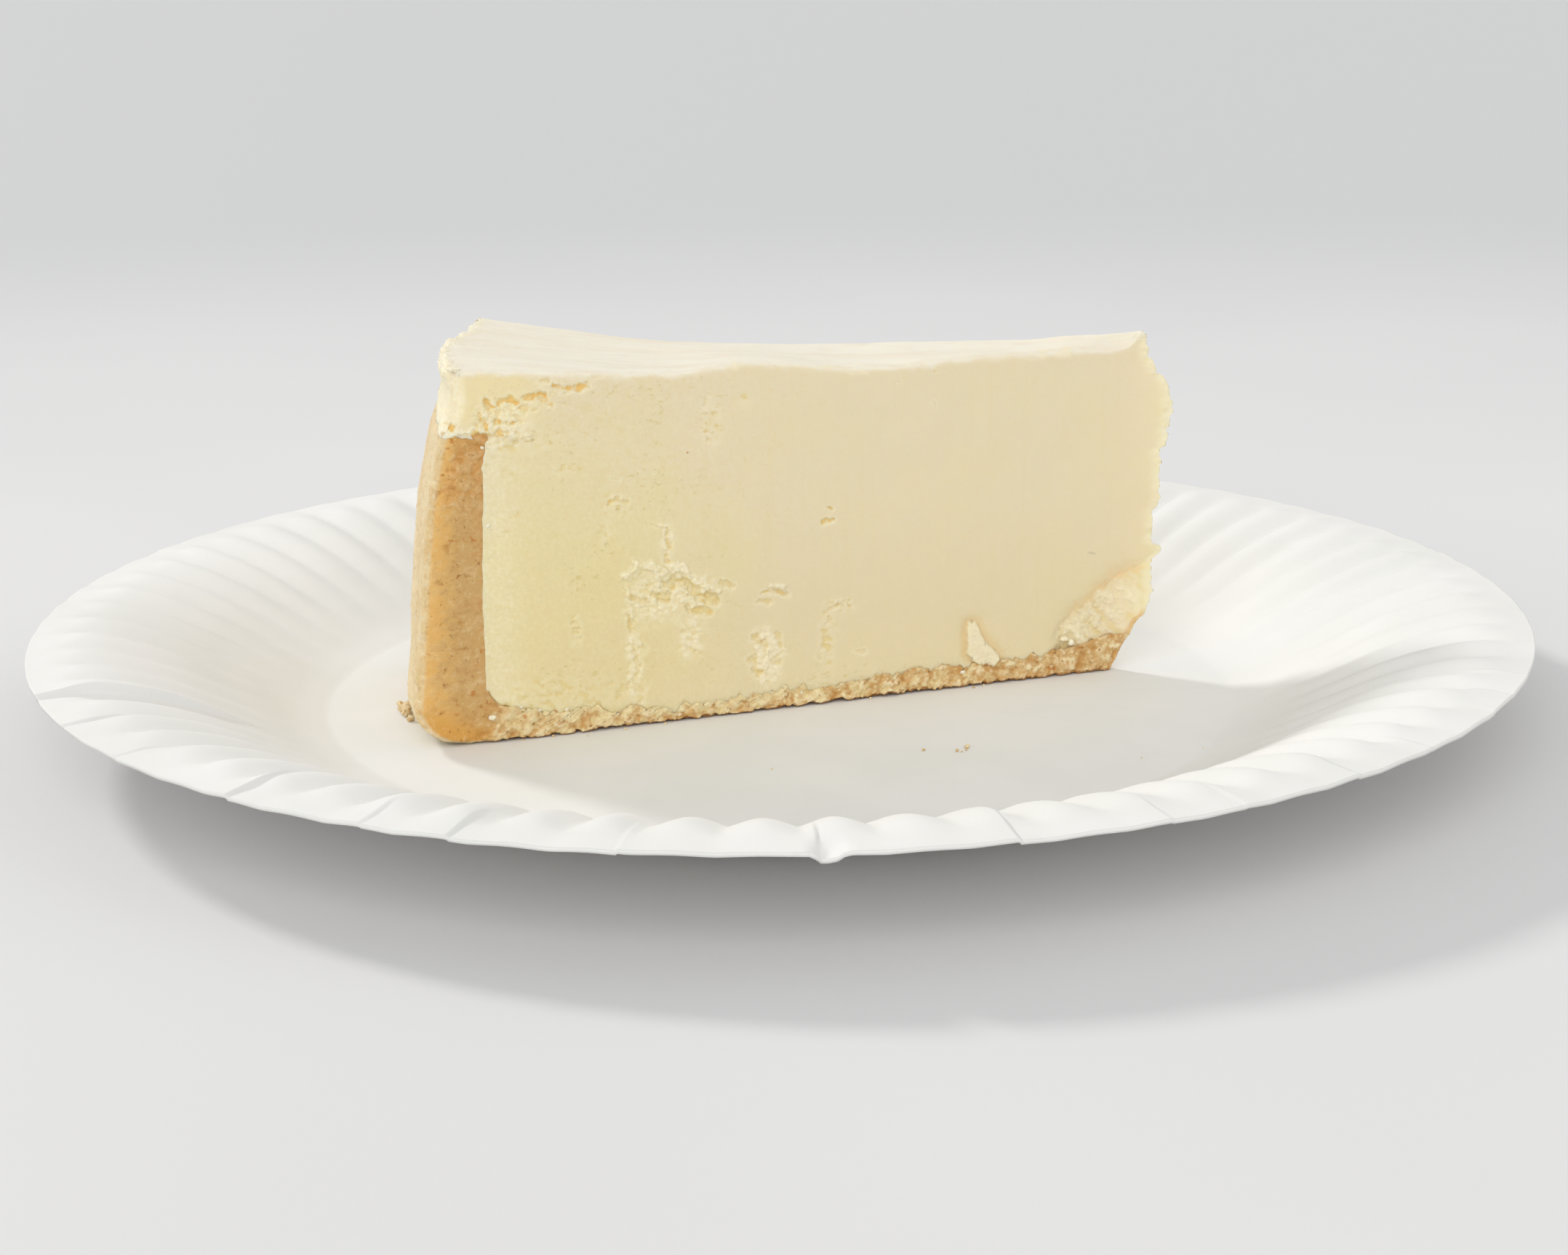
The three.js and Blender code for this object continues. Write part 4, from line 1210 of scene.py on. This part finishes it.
GOLD = linear(226, 179, 104)
GOLD_PALE = linear(237, 202, 140)
CUT_TAN = linear(203, 165, 106)
CUT_DARK = linear(196, 146, 90)
CUT_PALE = linear(226, 198, 150)
INNER_TAN = linear(207, 165, 106)
TOP_BROWN = linear(213, 152, 80)
FOOT_GOLD = linear(216, 160, 76)
BASE_PALE = linear(229, 206, 152)
BASE_TAN = linear(210, 167, 106)
BASE_BROWN = linear(190, 137, 70)
# Painted contact shadow under the base's edge
CONTACT_SHADOW_BROWN = linear(160, 104, 44)
BROWN = linear(160, 104, 52)
RUST = linear(188, 116, 38)
# Pale crumbs, also laid on raised lumps as a painted highlight
PALE_CRUMB_HIGHLIGHT = linear(244, 229, 188)
CREAMY = linear(243, 227, 178)
OUTSIDE_BEIGE = linear(237, 216, 170)
OUTSIDE_TAN = linear(229, 201, 148)
OUTSIDE_PALE = linear(246, 233, 206)
OUTSIDE_GRAIN = linear(211, 170, 114)
OUTSIDE_FLECK = linear(172, 120, 66)
OUTSIDE_GOLD = linear(214, 148, 78)
# Painted shade in the outer side's pores
OUTSIDE_PORE_SHADE = linear(206, 164, 110)
WHITE = (1, 1, 1, 1)


def crust_material():
    n = Nodes("short_pastry")
    blotch = n.noise(2.6, 5, 0.65, (1, 1, 1.4))
    grain = n.noise(0.8, 4, 0.65)
    crumb = n.noise(1.3, 6, 0.72, (1, 1, 1.3))
    cracks = n.ramp(n.noise(1.1, 5, 0.7, (1, 1, 1.5)), 0.64, 0.74)
    inward, wall, top, outside = (n.mask(key) for key in ("inward", "wall", "top", "outside"))
    across = n.plus(inward, n.ramp(blotch, 0.3, 0.7, -0.12, 0.12))
    speckled = n.ramp(across, 0.25, 0.6, 0.25, 1)
    cut = n.paint(
        GOLD,
        (n.ramp(blotch, 0.42, 0.62, 0, 0.5), GOLD_PALE),
        (n.ramp(across, 0.1, 0.62), CUT_TAN),
        (n.ramp(across, 0.78, 1.0), INNER_TAN),
        (n.times(n.ramp(blotch, 0.5, 0.68, 0, 0.55), speckled), CUT_DARK),
        (n.times(n.ramp(blotch, 0.46, 0.32, 0, 0.4), speckled), CUT_PALE),
        (n.times(top, n.ramp(blotch, 0.4, 0.6, 0.2, 0.65)), TOP_BROWN),
        (n.times(n.mask("foot"), n.ramp(inward, 0.7, 0.2, 0.2, 0.85)), FOOT_GOLD),
    )
    base = n.paint(
        BASE_PALE,
        (n.ramp(n.noise(1.7, 5, 0.7), 0.4, 0.6), BASE_TAN),
        (n.ramp(n.mask("along"), 0.36, 0.05, 0, 0.4), BASE_BROWN),
    )
    skin = n.paint(
        OUTSIDE_BEIGE,
        (n.ramp(n.noise(8, 4, 0.6), 0.38, 0.62), OUTSIDE_TAN),
        (n.ramp(crumb, 0.48, 0.34, 0, 0.65), OUTSIDE_PALE),
        (n.ramp(crumb, 0.53, 0.68, 0, 0.6), OUTSIDE_GRAIN),
        (n.ramp(n.noise(0.9, 4, 0.62), 0.66, 0.72, 0, 0.6), OUTSIDE_FLECK),
        (n.ramp(n.noise(3.2, 4, 0.6), 0.64, 0.72, 0, 0.45), OUTSIDE_GOLD),
        # Painted shade in the pores
        (n.mask("pore", 0.5), OUTSIDE_PORE_SHADE),
    )
    speckled = n.mix(wall, WHITE, n.times(speckled, 0.75))
    pale = n.times(n.ramp(grain, 0.46, 0.32, 0, 0.6), n.ramp(wall, 0, 1, 1, 0.3))
    proud = n.times(n.ramp(blotch, 0.35, 0.6, 0.3, 0.9), n.ramp(top, 0, 1, 1, 0.3))
    color = n.paint(
        base,
        (wall, cut),
        (n.times(n.ramp(grain, 0.54, 0.7, 0, 0.4), speckled), BROWN),
        (pale, PALE_CRUMB_HIGHLIGHT),
        # Pale raised lumps: pale crumbs with a painted highlight
        (n.times(n.mask("proud"), proud), PALE_CRUMB_HIGHLIGHT),
        (n.mask("creamy", 0.6), CREAMY),
        # Painted shade in the hollows and holes
        (n.times(n.mask("pit"), n.ramp(top, 0, 1, 0.75, 0.9)), BASE_BROWN),
        (n.times(cracks, 0.4), BROWN),
        (n.ramp(n.noise(1.0, 4, 0.62), 0.63, 0.69, 0, 0.8), BROWN),
        (n.ramp(n.noise(2.7, 4, 0.6), 0.64, 0.7, 0, 0.7), RUST),
        # Painted contact shadow at the underside's edge
        (n.mask("under", 0.8), CONTACT_SHADOW_BROWN),
        (outside, skin),
    )
    bumps = n.plus(n.times(grain, 0.8), n.times(n.noise(0.3, 3, 0.6), 0.5))
    bumps = n.plus(bumps, n.times(crumb, n.ramp(outside, 0, 1, 0, 1.2)))
    bumps = n.math("SUBTRACT", bumps, n.times(cracks, 0.5))
    return n.finish(
        color, n.ramp(outside, 0, 1, 0.75, 0.45), Normal=n.bump(bumps, 0.25, 0.7),
        Specular_IOR_Level=0.3, Subsurface_Weight=0.15, Subsurface_Radius=(1.0, 0.6, 0.3),
        Subsurface_Scale=0.0012,
    )


CRUMB_BEIGE = linear(236, 218, 178)
CRUMB_TAN = linear(206, 172, 118)


def grainy_material(name, pale, deep, roughness, depth, **inputs):
    """A matt material of two tones with a fine grain of the given depth."""
    n = Nodes(name)
    grain = n.noise(0.5, 3, 0.6)
    color = n.mix(n.ramp(grain, 0.4, 0.65), pale, deep)
    return n.finish(color, roughness, Normal=n.bump(grain, depth, 0.5), **inputs)


def crumb_material():
    return grainy_material(
        "pastry_crumb", CRUMB_BEIGE, CRUMB_TAN, 0.8, 0.15, Specular_IOR_Level=0.25,
    )


FLECK_WHITE = linear(251, 245, 224)
FLECK_CREAM = linear(244, 230, 190)


def fleck_material():
    return grainy_material(
        "cheese_crumb", FLECK_WHITE, FLECK_CREAM, 0.7, 0.1, Specular_IOR_Level=0.3,
        Subsurface_Weight=0.3, Subsurface_Radius=(1.0, 0.75, 0.4), Subsurface_Scale=0.001,
    )


FLOOR_GREY = linear(222, 222, 223)
FLOOR_PALE = linear(225, 225, 226)
FLOOR_FAR = linear(204, 205, 207)


def floor_material():
    n = Nodes("pale_floor")
    reach = n.new("ShaderNodeVectorMath")
    reach.operation = "LENGTH"
    n.link(n.new("ShaderNodeTexCoord").outputs["Object"], reach.inputs[0])
    color = n.paint(
        FLOOR_GREY,
        (n.ramp(n.noise(160, 2), 0.3, 0.7), FLOOR_PALE),
        (n.ramp(reach.outputs["Value"], 0.2, 0.75), FLOOR_FAR),
    )
    return n.finish(color, 0.65, Specular_IOR_Level=0.2)


# The camera comes first

camera = bpy.data.objects.new("camera", bpy.data.cameras.new("camera"))
bpy.context.scene.collection.objects.link(camera)
down, yaw, roll = (math.radians(v) for v in (CAMERA_DOWN, CAMERA_YAW, CAMERA_ROLL))
forward = Vector((-math.sin(yaw) * math.cos(down), math.cos(yaw) * math.cos(down), -math.sin(down)))
level = Vector((math.cos(yaw), math.sin(yaw), 0))
upright = level.cross(forward)
right = level * math.cos(roll) + upright * math.sin(roll)
up = upright * math.cos(roll) - level * math.sin(roll)
turn = Matrix((right, up, -forward)).transposed().to_4x4()
camera.matrix_world = Matrix.Translation(Vector(CAMERA_PLACE) * MM) @ turn
camera.data.sensor_width = SENSOR_WIDTH
camera.data.lens = FOCAL_PIXELS / PHOTO_WIDTH * SENSOR_WIDTH
camera.data.clip_start = CLIP_START
bpy.context.scene.camera = camera

# The pieces

plate_piece = plate()
plate_piece.data.materials.append(paper_material())
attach(plate_piece, "root")
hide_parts("plate")

filling_piece = filling()
filling_piece.data.materials.append(filling_material())
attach(filling_piece, "root")
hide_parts("filling")

crust_piece = crust()
crust_piece.data.materials.append(crust_material())
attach(crust_piece, "root")
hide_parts("crust")

# Crumbs on the plate: x, y and size. The last three lie at the foot of the pastry.
PLATE_CRUMBS = [
    (20.7, -33.3, 0.6), (25.6, -33.8, 0.6), (27.2, -32.1, 0.9), (26.3, -34.2, 0.4), (27.0, -33.3, 0.5),
    (-1.4, -41.2, 0.35), (74.3, -29.1, 0.4), (52.0, -38.0, 0.3), (61.5, -34.0, 0.3),
    (-58.3, -10.5, 3.0), (-57.6, -12.6, 1.7), (-56.6, -15.2, 1.4),
]
# More lie beside the slice, and more stick to the base at the cuts
BESIDE_COUNT = 26
BASE_COUNT = 44


def either_cut():
    """The side of the front or the back cut, at random."""
    return (1.0, -1.0)[int(rng.integers(2))]


places = [((x, y, PLATE_THICKNESS + 0.3 * size), size, 0.7) for x, y, size in PLATE_CRUMBS]
for _ in range(BESIDE_COUNT):
    along, beside = rng.uniform(4, 108), rng.exponential(0.6)
    side, size = either_cut(), rng.uniform(0.25, 0.6)
    places.append((at_one(wedge, along, side, 0.25 * size, -beside), size, 0.7))
for _ in range(BASE_COUNT):
    along, side = rng.uniform(3, 104), either_cut()
    height = rng.uniform(0.35, 0.8) * at_one(base_top, along, side)
    places.append((at_one(wedge, along, side, height, 0.5), rng.uniform(0.6, 1.1), 0.8))
crumb_piece = crumbs("pastry_crumbs", places)
crumb_piece.data.materials.append(crumb_material())
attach(crumb_piece, "root")

# Flecks of filling: distance, side, height, size and flatness, then more of them on the outer
# rim and along the meeting of filling and base at the cuts
FLECKS = [
    (105.7, 1.0, 33.1, 0.9, 1), (106.4, 1.0, 4.0, 1.2, 0.7), (106.7, 1.0, 28.0, 0.4, 1),
    (106.2, 1.0, 44.6, 0.7, 0.7), (12.6, 1.0, 6.2, 1.6, 0.6), (11.4, 1.0, 5.4, 1.5, 0.7),
    (30.2, 1.0, 2.6, 1.0, 0.6),
]
RIM_COUNT = 70
SEAM_COUNT = 50
SEAM_START = 8

places = []
for along, side, height, size, flat in FLECKS:
    places.append((at_one(wedge, along, side, height, 0.12), size, flat))
for _ in range(RIM_COUNT):
    side = rng.uniform(-0.95, 1.0)
    height = OUTER_HEIGHT - 1.3 * abs(rng.normal())
    along = at_one(outer_distance, height, side) - rng.uniform(0.3, 1.8)
    height = min(height, at_one(top_height, along, side))
    places.append((at_one(wedge, along, side, height - 0.15), rng.uniform(0.3, 0.8), 0.8))
for _ in range(SEAM_COUNT):
    along, side = 105 - rng.exponential(32), either_cut()
    if along < SEAM_START:
        continue
    height = max(0.5, at_one(base_top, along, side) + rng.normal(-0.3, 0.6))
    places.append((at_one(wedge, along, side, height, 0.4), rng.uniform(0.4, 0.9), 0.8))
fleck_piece = crumbs("cheese_flecks", places)
fleck_piece.data.materials.append(fleck_material())
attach(fleck_piece, "root")

# Floor and light, with lengths in metres

FLOOR_REACH = 6.0
FLOOR_DROP = 0.0002
LIGHT_DISTANCE = 2
# Name, azimuth, elevation, softness in degrees, strength and colour
LIGHTS = [
    ("key", 135, 31, 9, 1.38, (1.0, 0.985, 0.96)),
    ("front", -100, 33, 60, 1.2, (1.0, 0.995, 0.985)),
    ("side", 15, 35, 60, 0.3, (1.0, 1.0, 1.0)),
]
SKY_COLOR = (1.0, 0.995, 0.985, 1)
SKY_STRENGTH = 0.57

floor_mesh = bpy.data.meshes.new("floor")
corners = [(x * FLOOR_REACH, y * FLOOR_REACH, 0) for x, y in ((-1, -1), (1, -1), (1, 1), (-1, 1))]
floor_mesh.from_pydata(corners, [], [(0, 1, 2, 3)])
floor = bpy.data.objects.new("floor", floor_mesh)
bpy.context.scene.collection.objects.link(floor)
floor.location.z = -FLOOR_DROP
floor_mesh.materials.append(floor_material())

for name, azimuth, elevation, softness, strength, color in LIGHTS:
    lamp = bpy.data.objects.new(name, bpy.data.lights.new(name, "SUN"))
    lamp.data.energy, lamp.data.angle, lamp.data.color = strength, math.radians(softness), color
    a, e = math.radians(azimuth), math.radians(elevation)
    to_lamp = Vector((math.cos(a) * math.cos(e), math.sin(a) * math.cos(e), math.sin(e)))
    lamp.location = to_lamp * LIGHT_DISTANCE
    lamp.rotation_mode = "QUATERNION"
    lamp.rotation_quaternion = (-to_lamp).to_track_quat("-Z", "Y")
    bpy.context.scene.collection.objects.link(lamp)

world = bpy.data.worlds.new("studio")
world.use_nodes = True
world.node_tree.nodes["Background"].inputs["Color"].default_value = SKY_COLOR
world.node_tree.nodes["Background"].inputs["Strength"].default_value = SKY_STRENGTH
bpy.context.scene.world = world
bpy.context.scene.view_settings.view_transform = "Standard"
